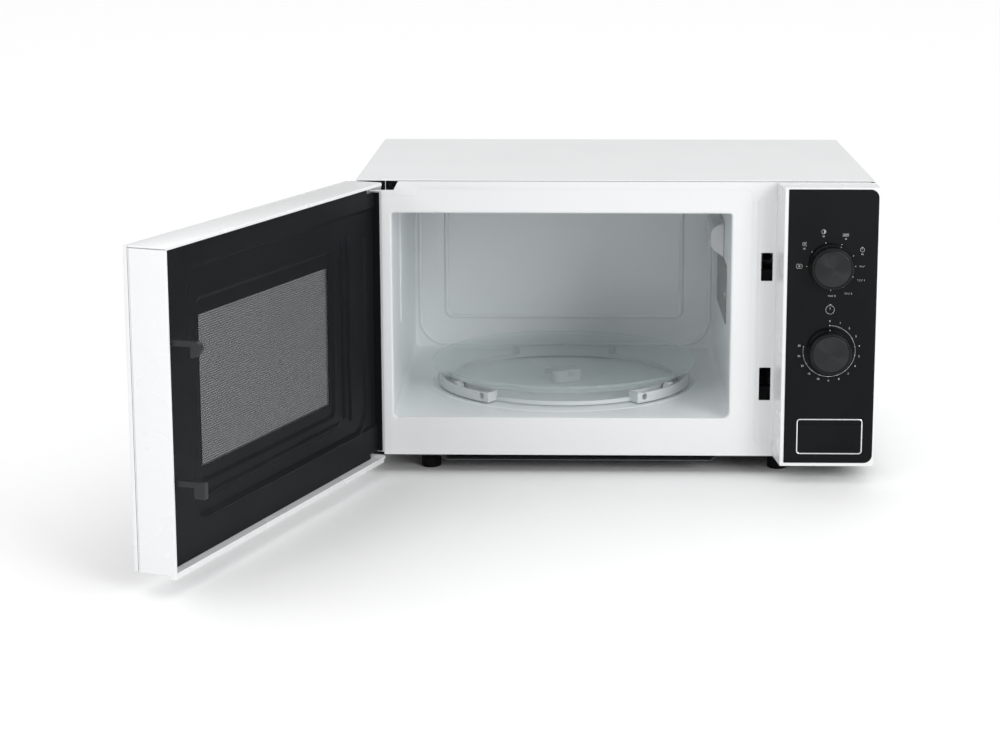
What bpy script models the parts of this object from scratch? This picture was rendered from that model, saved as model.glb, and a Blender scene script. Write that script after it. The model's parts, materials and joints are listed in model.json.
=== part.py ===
"""Countertop microwave oven with its door fully open, as separate pieces.

Metres, +Z up, front towards -Y. Sizes are given in the cabinet's own frame: X from the cabinet's
middle, Y back from the face of the front plate, Z up from the underside of the feet. At the end the
whole oven is moved so that the bottom centre of its bounding box is the world origin.
"""
import math

import bmesh
import bpy
from mathutils import Matrix, Vector

# ---- driving dimensions -------------------------------------------------------------------------
GAP = 0.0003                # between pieces that touch

WIDTH = 0.452               # cabinet, outside the cover
HEIGHT = 0.262              # feet to top of the cover
DEPTH = 0.299               # front plate face to rear edge of the cover
FRONT_STAND = 0.0345        # how far the control panel stands in front of the front plate
COVER_SHEET = 0.001
BODY_BOTTOM = 0.0165        # lower edge of cover, front plate and panel
FOOT_HEIGHT = 0.0153

CAVITY_LEFT, CAVITY_RIGHT = -0.196, 0.105
CAVITY_FLOOR, CAVITY_TOP = 0.050, 0.246
CAVITY_BACK = 0.295
CAVITY_SHEET = 0.0008
OPENING_LEFT, OPENING_RIGHT = -0.194, 0.1014
OPENING_BOTTOM, OPENING_TOP = 0.0504, 0.2326
LAMP_Y, LAMP_Z = 0.190, 0.186

HINGE_X, HINGE_Y = -0.217, -0.017
DOOR_OPEN_DEG = 110.2
DOOR_LEFT, DOOR_RIGHT = -0.2255, 0.1393      # closed door, in cabinet X
DOOR_BOTTOM, DOOR_TOP = 0.0174, 0.2615
DOOR_THICK = 0.0355
DOOR_CLEARANCE = 0.001      # closed door's rim to the front plate
WINDOW_LEFT, WINDOW_RIGHT = 0.0800, 0.2940   # door's window, from the hinge axis
WINDOW_BOTTOM, WINDOW_TOP = 0.0840, 0.2010
SCREEN_DEPTH = 0.0030       # door's perforated screen, behind the hinge axis
COVER_DEPTH = 0.0086        # door's inner cover, below its rim

TABLE_X, TABLE_Y = -0.045, 0.150
TABLE_RADIUS = 0.125
ROLLER_RADIUS = 0.00585
ROLLER_TRACK = 0.112        # distance of the rollers from the turntable's axis
ROLLER_WIDTH = 0.0068
ROLLER_BORE = 0.0016
ROLLER_TURNS_DEG = (-30, 90, 210)

PANEL_LEFT, PANEL_RIGHT = 0.1438, 0.2252
PANEL_BASE_LEFT = 0.1403
PANEL_TOP = 0.2605
OVERLAY_LEFT, OVERLAY_RIGHT = 0.1473, 0.2236
OVERLAY_BOTTOM, OVERLAY_TOP = 0.0198, 0.2590
KNOB_X = 0.1844
SELECTOR_Z, TIMER_Z = 0.193, 0.119
KNOB_RADIUS, KNOB_DEPTH = 0.018, 0.015
SELECTOR_REST_DEG, TIMER_REST_DEG = 24.5, 0.0      # pointers, clockwise from straight up
BUTTON_LEFT, BUTTON_RIGHT = 0.1579, 0.2149
BUTTON_BOTTOM, BUTTON_TOP = 0.0275, 0.059

SLOT_X = 0.1326             # middle of the latch slots
HOOK_LOW_Z, HOOK_HIGH_Z = 0.077, 0.1815      # undersides of the hook heads
HOOK_REACH = 0.024          # how far a hook stands out of the door's rim
SPRING_TOP = 0.2240         # upper end of the latch's spring
LEVER_Y, LEVER_Z = 0.0065, 0.060             # release lever's axis
ROD_END = 0.0020            # rear end of the button's rod

FAN_X, FAN_Z = 0.168, 0.182
FAN_RADIUS = 0.042
INLET_X, INLET_Z = 0.196, 0.050
SCREWS = [(-0.212, 0.040), (-0.212, 0.235), (0.212, 0.235)]

# ---- worked out from them -----------------------------------------------------------------------
HALF = WIDTH / 2
PANEL_FACE = -FRONT_STAND
RIM = -HINGE_Y - DOOR_CLEARANCE               # door's inner rim, from the hinge axis
FACE = RIM - DOOR_THICK                       # door's outer face, from the hinge axis
U_LEFT = DOOR_LEFT - HINGE_X
U_RIGHT = DOOR_RIGHT - HINGE_X
ROLLER_Z = CAVITY_FLOOR + GAP + ROLLER_RADIUS
GLASS_Z = ROLLER_Z + ROLLER_RADIUS + GAP      # underside of the glass on the rollers
ROLLER_TURNS = [math.radians(turn) for turn in ROLLER_TURNS_DEG]
COVER_V = RIM - COVER_DEPTH                   # inner cover's surface, from the hinge axis


# ---- scene helpers ------------------------------------------------------------------------------
for stale in list(bpy.data.objects):
    bpy.data.objects.remove(stale, do_unlink=True)


def material(name, colour, roughness, metallic=0.0, transmission=0.0):
    made = bpy.data.materials.new(name)
    made.use_nodes = True
    shader = made.node_tree.nodes["Principled BSDF"]
    shader.inputs["Base Color"].default_value = (*colour, 1.0)
    shader.inputs["Roughness"].default_value = roughness
    shader.inputs["Metallic"].default_value = metallic
    shader.inputs["Transmission Weight"].default_value = transmission
    made.diffuse_color = (*colour, 1.0)
    return made


WHITE_STEEL = material("white_painted_steel", (0.86, 0.87, 0.87), 0.35)
CAVITY_PAINT = material("light_grey_cavity_paint", (0.66, 0.69, 0.70), 0.4)
ZINC = material("zinc_plated_steel", (0.60, 0.61, 0.61), 0.35, 1.0)
DARK_STEEL = material("dark_steel", (0.06, 0.065, 0.07), 0.5, 0.6)
LAMINATION = material("steel_laminations", (0.20, 0.20, 0.21), 0.5, 1.0)
ALUMINIUM = material("aluminium_fins", (0.75, 0.76, 0.77), 0.3, 1.0)
SPRING_STEEL = material("spring_steel", (0.50, 0.50, 0.50), 0.3, 1.0)
WHITE_PLASTIC = material("white_plastic", (0.88, 0.89, 0.89), 0.3)
BLACK_PLASTIC = material("black_plastic", (0.022, 0.025, 0.028), 0.45)
GLOSS_BLACK = material("gloss_black", (0.018, 0.021, 0.024), 0.08)
KNOB_BLACK = material("spun_black_metal", (0.03, 0.03, 0.032), 0.3, 0.8)
SILVER = material("silver_trim", (0.80, 0.81, 0.82), 0.25, 1.0)
PALE_PLASTIC = material("pale_grey_plastic", (0.78, 0.80, 0.80), 0.45)
RUBBER = material("black_rubber", (0.02, 0.02, 0.02), 0.8)
CLEAR_GLASS = material("clear_glass", (0.80, 0.90, 0.87), 0.03, 0.0, 0.9)
SMOKED_GLASS = material("smoked_glass", (0.03, 0.035, 0.04), 0.05, 0.0, 0.5)
MICA = material("mica", (0.42, 0.42, 0.40), 0.5)
BOARD_GREEN = material("circuit_board", (0.05, 0.22, 0.12), 0.5)


def empty(name, parent=None, location=(0, 0, 0), rotation=(0, 0, 0)):
    made = bpy.data.objects.new(name, None)
    made.location = location
    made.rotation_euler = rotation
    made.parent = parent
    bpy.context.collection.objects.link(made)
    return made


def piece(name, mesh, finish, parent, location=(0, 0, 0), rotation=(0, 0, 0)):
    """A named object from a bmesh, shaded smooth except at its sharp edges."""
    sharpest_smooth = math.radians(32)
    data = bpy.data.meshes.new(name)
    mesh.to_mesh(data)
    mesh.free()
    data.materials.append(finish)
    data.shade_smooth()
    data.set_sharp_from_angle(angle=sharpest_smooth)
    made = bpy.data.objects.new(name, data)
    made.location = location
    made.rotation_euler = rotation
    made.parent = parent
    bpy.context.collection.objects.link(made)
    return made


def shaped(target, joined=(), removed=()):
    """Adds some bmeshes to an object and cuts others out of it, in the object's own frame."""
    tools = []
    for operation, meshes in (("UNION", joined), ("DIFFERENCE", removed)):
        for mesh in meshes:
            tool = piece("tool", mesh, target.data.materials[0], target.parent)
            tool.location = target.location
            tool.rotation_euler = target.rotation_euler
            tools.append(tool)
            step = target.modifiers.new(operation.lower(), "BOOLEAN")
            step.operation = operation
            step.object = tool
    bpy.context.view_layer.update()
    evaluated = target.evaluated_get(bpy.context.evaluated_depsgraph_get())
    result = bpy.data.meshes.new_from_object(evaluated)
    target.modifiers.clear()
    target.data = result
    for tool in tools:
        bpy.data.objects.remove(tool, do_unlink=True)
    return target


# ---- outlines and solids ------------------------------------------------------------------------
def arc(centre, radius, start_deg, end_deg, steps):
    angles = [math.radians(start_deg + (end_deg - start_deg) * k / steps) for k in range(steps + 1)]
    return [(centre[0] + radius * math.cos(a), centre[1] + radius * math.sin(a)) for a in angles]


def circle(centre, radius, steps=24):
    return arc(centre, radius, 0, 360, steps)[:-1]


def rounded(low, high, radius, steps=3, corners=(True, True, True, True)):
    """A rectangle's outline, its corners in the order: low-low, high-low, high-high, low-high."""
    centres = [(low[0] + radius, low[1] + radius), (high[0] - radius, low[1] + radius),
               (high[0] - radius, high[1] - radius), (low[0] + radius, high[1] - radius)]
    sharp = [(low[0], low[1]), (high[0], low[1]), (high[0], high[1]), (low[0], high[1])]
    points = []
    for k in range(4):
        start = 180 + 90 * k
        points += arc(centres[k], radius, start, start + 90, steps) if corners[k] else [sharp[k]]
    return points


def placed(point, height, axis):
    if axis == "X":
        return Vector((height, point[0], point[1]))
    if axis == "Y":
        return Vector((point[0], height, point[1]))
    return Vector((point[0], point[1], height))


def prism(outline, axis, low, high, holes=()):
    """A flat outline with holes, filled and drawn out along an axis."""
    mesh = bmesh.new()
    loops = []
    edges = []
    for points in (outline, *holes):
        loop = [mesh.verts.new(placed(p, low, axis)) for p in points]
        loops.append(loop)
        edges += [mesh.edges.new(pair) for pair in zip(loop, loop[1:] + loop[:1])]
    bmesh.ops.triangle_fill(mesh, use_beauty=True, edges=edges)
    floor = list(mesh.faces)
    rise = placed((0, 0), high - low, axis)
    twin = {vert: mesh.verts.new(vert.co + rise) for vert in list(mesh.verts)}
    for face in floor:
        mesh.faces.new([twin[vert] for vert in reversed(face.verts)])
    for loop in loops:
        for a, b in zip(loop, loop[1:] + loop[:1]):
            mesh.faces.new((a, b, twin[b], twin[a]))
    bmesh.ops.recalc_face_normals(mesh, faces=mesh.faces)
    return mesh


def boxes(*spans):
    """One or more separate boxes, each given as its low and high corner."""
    mesh = bmesh.new()
    for low, high in spans:
        middle = [(a + b) / 2 for a, b in zip(low, high)]
        size = [b - a for a, b in zip(low, high)]
        place = Matrix.Translation(middle) @ Matrix.Diagonal((*size, 1))
        bmesh.ops.create_cube(mesh, size=1, matrix=place)
    return mesh


def box(x, y, z):
    return boxes(((x[0], y[0], z[0]), (x[1], y[1], z[1])))


def turned(profile, steps=32, closed=False, place=None):
    """A profile of (radius, height) points turned about Z; radius 0 closes it on the axis."""
    mesh = bmesh.new()
    rows = []
    for radius, height in profile:
        if radius == 0:
            rows.append([mesh.verts.new((0, 0, height))] * steps)
            continue
        turn = [2 * math.pi * k / steps for k in range(steps)]
        rows.append([mesh.verts.new((radius * math.cos(a), radius * math.sin(a), height)) for a in turn])
    following = rows[1:] + rows[:1] if closed else rows[1:]
    for upper, lower in zip(rows, following):
        for k in range(steps):
            corners = [upper[k], upper[(k + 1) % steps], lower[(k + 1) % steps], lower[k]]
            mesh.faces.new(list(dict.fromkeys(corners)))
    bmesh.ops.recalc_face_normals(mesh, faces=mesh.faces)
    if place is not None:
        mesh.transform(place)
    return mesh


def rod(start, end, radius, steps=16):
    """A plain round bar between two points."""
    span = Vector(end) - Vector(start)
    turn = span.to_track_quat("Z", "Y").to_matrix().to_4x4()
    profile = [(0, 0), (radius, 0), (radius, span.length), (0, span.length)]
    return turned(profile, steps, place=Matrix.Translation(start) @ turn)


def tube_along(name, points, radius, finish, parent, sides=2):
    """A bar bent along a smooth run of points, with filled ends."""
    curve = bpy.data.curves.new(name, "CURVE")
    curve.dimensions = "3D"
    curve.bevel_depth = radius
    curve.bevel_resolution = sides
    curve.use_fill_caps = True
    spline = curve.splines.new("POLY")
    spline.points.add(len(points) - 1)
    for slot, point in zip(spline.points, points):
        slot.co = (*point, 1)
    curve.materials.append(finish)
    made = bpy.data.objects.new(name, curve)
    made.parent = parent
    bpy.context.collection.objects.link(made)
    return made


def coil(centre, radius, low, high, turns, steps=10):
    """Points along a helix about Z."""
    count = int(turns * steps)
    points = []
    for k in range(count + 1):
        turn = 2 * math.pi * k / steps
        x = centre[0] + radius * math.cos(turn)
        y = centre[1] + radius * math.sin(turn)
        points.append((x, y, low + (high - low) * k / count))
    return points


# ---- frames that the pieces hang from -----------------------------------------------------------
ROOT = empty("cabinet_frame")
DOOR = empty("door_hinge_axis", ROOT, (HINGE_X, HINGE_Y, 0), (0, 0, -math.radians(DOOR_OPEN_DEG)))
OUT_OF_PANEL = (math.radians(90), 0, 0)       # turns local +Z to point out of the panel
SELECTOR = empty("selector_axis", ROOT, (KNOB_X, PANEL_FACE, SELECTOR_Z), OUT_OF_PANEL)
TIMER = empty("timer_axis", ROOT, (KNOB_X, PANEL_FACE, TIMER_Z), OUT_OF_PANEL)
TURNTABLE = empty("turntable_axis", ROOT, (TABLE_X, TABLE_Y, 0))
FAN = empty("fan_axis", ROOT, (FAN_X, DEPTH - 0.030, FAN_Z), OUT_OF_PANEL)


# ---- cabinet shell ------------------------------------------------------------------------------
def make_outer_cover():
    """Bent sheet over the top and down both sides, with cooling slots."""
    radius = 0.0035
    outer = [(-HALF, BODY_BOTTOM)]
    outer += arc((-HALF + radius, HEIGHT - radius), radius, 180, 90, 3)
    outer += arc((HALF - radius, HEIGHT - radius), radius, 90, 0, 3)
    outer += [(HALF, BODY_BOTTOM)]
    inside = radius - COVER_SHEET
    inner = [(HALF - COVER_SHEET, BODY_BOTTOM)]
    inner += arc((HALF - radius, HEIGHT - radius), inside, 0, 90, 3)
    inner += arc((-HALF + radius, HEIGHT - radius), inside, 90, 180, 3)
    inner += [(-HALF + COVER_SHEET, BODY_BOTTOM)]
    cover = piece("outer_cover", prism(outer + inner, "Y", 0, DEPTH), WHITE_STEEL, ROOT)
    slots = []
    pitch, width, length = 0.008, 0.003, 0.022
    for side, columns in ((HALF, 2), (-HALF, 1)):
        for column in range(columns):
            for row in range(8):
                y = 0.205 + 0.030 * column
                z = 0.120 + pitch * row
                slots.append(((side - 0.003, y, z), (side + 0.003, y + length, z + width)))
    shaped(cover, removed=[boxes(*slots)])


def make_rear_panel():
    """Flat back with the fan's outlet slots, the inlet hole for the mains lead and screw holes."""
    inset = COVER_SHEET + GAP
    front, back = DEPTH - 0.0013, DEPTH - 0.0003
    outline = rounded((-HALF + inset, BODY_BOTTOM), (HALF - inset, HEIGHT - inset), 0.004, 2)
    holes = [circle((INLET_X, INLET_Z), 0.0085, 20)]
    holes += [circle(spot, 0.0018, 10) for spot in SCREWS]
    for column in range(2):
        for row in range(9):
            x = FAN_X - 0.034 + 0.036 * column
            z = FAN_Z - 0.034 + 0.008 * row
            holes.append([(x, z), (x + 0.030, z), (x + 0.030, z + 0.0035), (x, z + 0.0035)])
    piece("rear_panel", prism(outline, "Y", front, back, holes), ZINC, ROOT)


def make_base_plate():
    """Base pan, pressed down in the middle under the turntable's motor."""
    top, sheet, drop = BODY_BOTTOM - GAP, 0.001, 0.0042
    left, right, slope = -0.153, 0.091, 0.005
    edge = HALF - COVER_SHEET - GAP
    upper = [(-edge, top), (left, top), (left + slope, top - drop), (right - slope, top - drop),
             (right, top), (edge, top)]
    lower = [(x, z - sheet) for x, z in reversed(upper)]
    base = piece("base_plate", prism(upper + lower, "Y", 0.002, DEPTH - 0.002), DARK_STEEL, ROOT)
    vents = []
    for k in range(6):
        x = 0.120 + 0.012 * k
        vents.append(((x, 0.120, 0.010), (x + 0.004, 0.160, 0.020)))
    shaped(base, removed=[boxes(*vents)])


def make_feet():
    top = FOOT_HEIGHT - GAP
    profile = [(0, 0), (0.0078, 0), (0.0088, 0.0012), (0.0088, 0.0130), (0.0070, top), (0, top)]
    places = {"foot_front_left": (-0.163, 0.025), "foot_front_right": (0.147, 0.025),
              "foot_rear_left": (-0.190, 0.270), "foot_rear_right": (0.190, 0.270)}
    for name, (x, y) in places.items():
        piece(name, turned(profile, 20), RUBBER, ROOT, (x, y, 0))


def make_front_plate():
    """Flat front with the cavity's mouth, two latch slots, hinge notches and the panel's opening."""
    edge = HALF - COVER_SHEET - GAP
    top = HEIGHT - COVER_SHEET - GAP
    notch_left, notch_right, notch_floor = -0.2235, -0.188, 0.2530
    low_notch_right, low_notch_top = -0.203, 0.0235
    corner = mouth_radius = 0.004
    outline = [(edge, BODY_BOTTOM), (edge, top - corner), (edge - corner, top), (notch_right, top),
               (notch_right - 0.003, notch_floor), (notch_left, notch_floor),
               (notch_left, top - corner), (-edge, top - corner), (-edge, BODY_BOTTOM),
               (notch_left, BODY_BOTTOM), (notch_left, low_notch_top),
               (low_notch_right, low_notch_top), (low_notch_right, BODY_BOTTOM)]
    mouth = rounded((OPENING_LEFT, OPENING_BOTTOM), (OPENING_RIGHT, OPENING_TOP), mouth_radius, 4)
    half_slot = 0.005
    slots = [[(SLOT_X - half_slot, low), (SLOT_X + half_slot, low),
              (SLOT_X + half_slot, high), (SLOT_X - half_slot, high)]
             for low, high in ((0.067, 0.0964), (0.1737, 0.1985))]
    behind_panel = rounded((0.152, 0.030), (0.215, 0.245), 0.004, 2)
    mesh = prism(outline, "Y", 0, 0.001, [mouth, *slots, behind_panel])
    piece("front_plate", mesh, WHITE_STEEL, ROOT)


def make_cavity():
    """Open-fronted oven box with a welding flange at its mouth."""
    sheet, front, corner, reach = CAVITY_SHEET, 0.0013, 0.008, 0.005

    def outline(grow):
        return rounded((CAVITY_LEFT - grow, CAVITY_FLOOR - grow), (CAVITY_RIGHT + grow, CAVITY_TOP + grow),
                       corner + grow, 4)

    shell = piece("cavity_shell", prism(outline(sheet), "Y", front, CAVITY_BACK + sheet), CAVITY_PAINT, ROOT)
    through_wall = (CAVITY_RIGHT - 0.005, CAVITY_RIGHT + 0.005)
    hole_radius = 0.008
    floor_low, floor_high = CAVITY_FLOOR - 0.005, CAVITY_FLOOR + 0.005
    removed = [
        prism(outline(0), "Y", 0, CAVITY_BACK),
        rod((TABLE_X, TABLE_Y, floor_low), (TABLE_X, TABLE_Y, floor_high), hole_radius, 20),
        box(through_wall, (0.118, 0.228), (0.120, 0.160)),
        rod((through_wall[0], LAMP_Y, LAMP_Z), (through_wall[1], LAMP_Y, LAMP_Z), hole_radius, 16),
    ]
    shaped(shell, [prism(outline(reach), "Y", front, front + sheet)], removed)


def make_cavity_fittings():
    """Cover over the waveguide's mouth, lamp hood, grill element and its reflector."""
    wall = CAVITY_RIGHT - GAP
    sheet = box((wall - 0.0005, wall), (0.108, 0.237), (0.113, 0.1675))
    piece("waveguide_cover", sheet, MICA, ROOT)
    bump = [(wall, 0.1685), (0.0955, 0.1750), (0.0925, 0.1810), (0.0925, 0.1915), (0.0955, 0.1975),
            (wall, 0.2010)]
    hollow = [(wall + 0.001, 0.1705), (0.0965, 0.1765), (0.0940, 0.1818), (0.0940, 0.1905),
              (0.0965, 0.1958), (wall + 0.001, 0.1990)]
    hood = piece("lamp_hood", prism(bump, "Y", 0.150, 0.232), WHITE_PLASTIC, ROOT)
    shaped(hood, removed=[prism(hollow, "Y", 0.1515, 0.2305)])
    ceiling = CAVITY_TOP - GAP
    outline = rounded((-0.150, 0.060), (0.070, 0.240), 0.012, 3)
    inset = rounded((-0.149, 0.061), (0.069, 0.239), 0.011, 3)
    tray = piece("grill_reflector", prism(outline, "Z", ceiling - 0.005, ceiling), ALUMINIUM, ROOT)
    shaped(tray, removed=[prism(inset, "Z", ceiling - 0.010, ceiling - 0.001)])
    bend = 0.026
    left, right, first = -0.105, 0.030, 0.098
    route = [(wall, first)] + arc((left, first + bend), bend, -90, -270, 8)
    route += arc((right, first + 3 * bend), bend, -90, 90, 8)
    route += arc((left, first + 5 * bend), bend, -90, -270, 8) + [(wall, first + 6 * bend)]
    height = CAVITY_TOP - 0.0095
    points = [(x, y, height) for x, y in route]
    tube_along("grill_element", points, 0.0033, DARK_STEEL, ROOT, 1)


# ---- turntable ----------------------------------------------------------------------------------
def lobes(radius, swing, steps=24):
    turn = [2 * math.pi * k / steps for k in range(steps)]
    reach = [radius + swing * math.cos(3 * a) for a in turn]
    return [(r * math.cos(a), r * math.sin(a)) for r, a in zip(reach, turn)]


def make_turntable_drive():
    top = CAVITY_FLOOR - CAVITY_SHEET - GAP
    profile = [(0, top - 0.019), (0.025, top - 0.019), (0.025, top), (0.0032, top), (0.0032, 0.0545),
               (0, 0.0545)]
    motor = piece("turntable_motor", turned(profile, 24), ZINC, ROOT, (TABLE_X, TABLE_Y, 0))
    ears = box((-0.033, 0.033), (-0.006, 0.006), (top - 0.0012, top))
    terminals = box((-0.008, 0.008), (0.022, 0.033), (top - 0.012, top - 0.003))
    shaped(motor, [ears, terminals])
    coupler = prism(lobes(0.013, 0.003), "Z", CAVITY_FLOOR + 0.0006, GLASS_Z - GAP)
    made = piece("turntable_coupler", coupler, PALE_PLASTIC, TURNTABLE)
    shaped(made, removed=[rod((0, 0, 0.045), (0, 0, 0.0548), 0.0036)])


def make_glass_turntable():
    """Round glass dish with a raised rim and three lugs that the coupler drives."""
    base, radius = GLASS_Z, TABLE_RADIUS
    profile = [(0, base), (0.103, base), (0.112, base + 0.0010), (0.120, base + 0.0045),
               (radius, base + 0.0085), (radius, base + 0.0100), (radius - 0.003, base + 0.0100),
               (0.117, base + 0.0075), (0.109, base + 0.0048), (0.100, base + 0.0040),
               (0.088, base + 0.0040), (0, base + 0.0040)]
    dish = piece("glass_turntable", turned(profile, 56), CLEAR_GLASS, TURNTABLE)
    lugs = []
    for k in range(3):
        lug = box((0.0118, 0.0180), (-0.0022, 0.0022), (base - 0.0050, base + 0.0010))
        lug.transform(Matrix.Rotation(math.radians(60 + 120 * k), 4, "Z"))
        lugs.append(lug)
    shaped(dish, lugs)


def make_roller_ring():
    """Ring with three housings for the rollers, whose axles are moulded with it."""
    low, high = CAVITY_FLOOR + 0.0012, CAVITY_FLOOR + 0.0105
    inner = prism(circle((0, 0), 0.1065, 48), "Z", low, high, [circle((0, 0), 0.1045, 48)])
    ring = piece("roller_ring", inner, PALE_PLASTIC, TURNTABLE)
    joined, removed = [], []
    spread, reach, low_band = 25, 0.1185, 0.0036
    for turn in ROLLER_TURNS:
        middle = math.degrees(turn)
        start, end = middle - spread, middle + spread
        wall = arc((0, 0), reach, start, end, 10) + arc((0, 0), reach - 0.0018, end, start, 10)
        joined.append(prism(wall, "Z", low, high - 0.0005))
        start, end = start + 1.3, end - 1.3
        web = arc((0, 0), reach - 0.001, start, end, 10) + arc((0, 0), 0.1057, end, start, 10)
        joined.append(prism(web, "Z", low + 0.001, low + 0.0025))
        place = Matrix.Rotation(turn, 4, "Z")
        start, end = middle + spread, middle + 120 - spread
        gap = arc((0, 0), 0.1100, start, end, 14) + arc((0, 0), 0.1000, end, start, 14)
        removed.append(prism(gap, "Z", low + low_band, high + 0.001))
        pocket = box((0.1070, 0.1165), (-0.0075, 0.0075), (low - 0.001, low + 0.004))
        pocket.transform(place)
        removed.append(pocket)
    shaped(ring, joined, removed)
    axles = []
    for turn in ROLLER_TURNS:
        axle = rod((0.1055, 0, ROLLER_Z), (0.1175, 0, ROLLER_Z), 0.0012, 10)
        axle.transform(Matrix.Rotation(turn, 4, "Z"))
        axles.append(axle)
    shaped(ring, axles)
    half = ROLLER_WIDTH / 2
    profile = [(ROLLER_BORE, -half), (ROLLER_RADIUS, -half), (ROLLER_RADIUS, half), (ROLLER_BORE, half)]
    for k, turn in enumerate(ROLLER_TURNS):
        spot = (ROLLER_TRACK * math.cos(turn), ROLLER_TRACK * math.sin(turn), ROLLER_Z)
        wheel = turned(profile, 24, closed=True)
        piece(f"roller_{k + 1}", wheel, PALE_PLASTIC, TURNTABLE, spot, (0, math.radians(90), turn))


# ---- control panel ------------------------------------------------------------------------------
def make_control_panel():
    """White moulded housing, open at the back, with a shallow recess for its black face."""
    outline = [(PANEL_BASE_LEFT, -GAP), (PANEL_LEFT, PANEL_FACE), (PANEL_RIGHT, PANEL_FACE),
               (PANEL_RIGHT, -GAP)]
    wall = 0.0022
    hollow = [(PANEL_BASE_LEFT + wall, 0.001), (PANEL_LEFT + wall, PANEL_FACE + 0.0032),
              (PANEL_RIGHT - wall, PANEL_FACE + 0.0032), (PANEL_RIGHT - wall, 0.001)]
    recess = rounded((OVERLAY_LEFT - GAP, OVERLAY_BOTTOM - GAP), (OVERLAY_RIGHT + GAP, OVERLAY_TOP + GAP),
                     0.0073, 4, (False, True, True, False))
    window = rounded((BUTTON_LEFT - GAP, BUTTON_BOTTOM - GAP), (BUTTON_RIGHT + GAP, BUTTON_TOP + GAP),
                     0.0033, 3)
    housing = piece("control_panel", prism(outline, "Z", BODY_BOTTOM, PANEL_TOP), WHITE_PLASTIC, ROOT)
    removed = [
        prism(hollow, "Z", BODY_BOTTOM + wall, PANEL_TOP - wall),
        prism(recess, "Y", PANEL_FACE - 0.001, PANEL_FACE + 0.0011),
        prism(window, "Y", PANEL_FACE - 0.001, PANEL_FACE + 0.010),
    ]
    for z in (SELECTOR_Z, TIMER_Z):
        removed.append(rod((KNOB_X, PANEL_FACE - 0.001, z), (KNOB_X, PANEL_FACE + 0.010, z), 0.006, 20))
    shaped(housing, removed=removed)
    face = rounded((OVERLAY_LEFT, OVERLAY_BOTTOM), (OVERLAY_RIGHT, OVERLAY_TOP), 0.007, 4,
                   (False, True, True, False))
    holes = [circle((KNOB_X, z), 0.006, 20) for z in (SELECTOR_Z, TIMER_Z)]
    mesh = prism(face, "Y", PANEL_FACE, PANEL_FACE + 0.0008, [window, *holes])
    piece("panel_overlay", mesh, GLOSS_BLACK, ROOT)


def make_knob(name, axis, pointer_deg):
    """Spun-faced knob with a skirt, a pointer notch and a stem into its switch."""
    radius, depth = KNOB_RADIUS, KNOB_DEPTH
    profile = [(0, 0.0006), (radius + 0.0013, 0.0006), (radius + 0.0013, 0.0030),
               (radius + 0.0002, 0.0045), (radius, depth - 0.0010), (radius - 0.0008, depth),
               (radius - 0.0016, depth), (radius - 0.0020, depth - 0.0004), (0, depth - 0.0004)]
    knob = piece(name, turned(profile, 40), KNOB_BLACK, axis, (0, 0, 0),
                 (0, 0, -math.radians(pointer_deg)))
    stem = rod((0, 0, -0.022), (0, 0, 0.002), 0.003, 12)
    notch = box((-0.0005, 0.0005), (radius - 0.0005, radius + 0.002), (0.0020, depth + 0.001))
    shaped(knob, [stem], [notch])


def make_button():
    """Door-release button in a silver frame, with a rod back to the release lever."""
    low, high = (BUTTON_LEFT, BUTTON_BOTTOM), (BUTTON_RIGHT, BUTTON_TOP)
    rim = 0.0015
    inner_low = (low[0] + rim, low[1] + rim)
    inner_high = (high[0] - rim, high[1] - rim)
    frame = prism(rounded(low, high, 0.003, 3), "Y", PANEL_FACE - 0.0004, PANEL_FACE + 0.009,
                  [rounded(inner_low, inner_high, 0.0018, 3)])
    piece("button_frame", frame, SILVER, ROOT)
    gap = 0.0004
    cap_low = (inner_low[0] + gap, inner_low[1] + gap)
    cap_high = (inner_high[0] - gap, inner_high[1] - gap)
    cap = prism(rounded(cap_low, cap_high, 0.0015, 3), "Y", PANEL_FACE, PANEL_FACE + 0.0035)
    button = piece("open_button", cap, GLOSS_BLACK, ROOT)
    plunger = box((0.1830, 0.1890), (PANEL_FACE + 0.003, ROD_END), (0.0405, 0.0445))
    shaped(button, [plunger])


def make_switches():
    """Mechanical timer and function selector behind the panel, bored for the knobs' stems."""
    front = PANEL_FACE + 0.0035
    timer = box((0.1600, 0.2090), (front, front + 0.026), (TIMER_Z - 0.023, TIMER_Z + 0.023))
    made = piece("timer_unit", timer, ZINC, ROOT)
    bell = rod((KNOB_X, front + 0.020, TIMER_Z), (KNOB_X, front + 0.031, TIMER_Z), 0.019, 24)
    bore = rod((KNOB_X, front - 0.001, TIMER_Z), (KNOB_X, front + 0.024, TIMER_Z), 0.0034, 12)
    shaped(made, [bell], [bore])
    body = box((0.1640, 0.2050), (front, front + 0.022), (SELECTOR_Z - 0.017, SELECTOR_Z + 0.017))
    made = piece("selector_switch", body, BLACK_PLASTIC, ROOT)
    bore = rod((KNOB_X, front - 0.001, SELECTOR_Z), (KNOB_X, front + 0.0205, SELECTOR_Z), 0.0034, 12)
    tabs = [box((x, x + 0.006), (front + 0.021, front + 0.029), (SELECTOR_Z + 0.006, SELECTOR_Z + 0.0068))
            for x in (0.168, 0.181, 0.195)]
    shaped(made, tabs, [bore])


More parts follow.
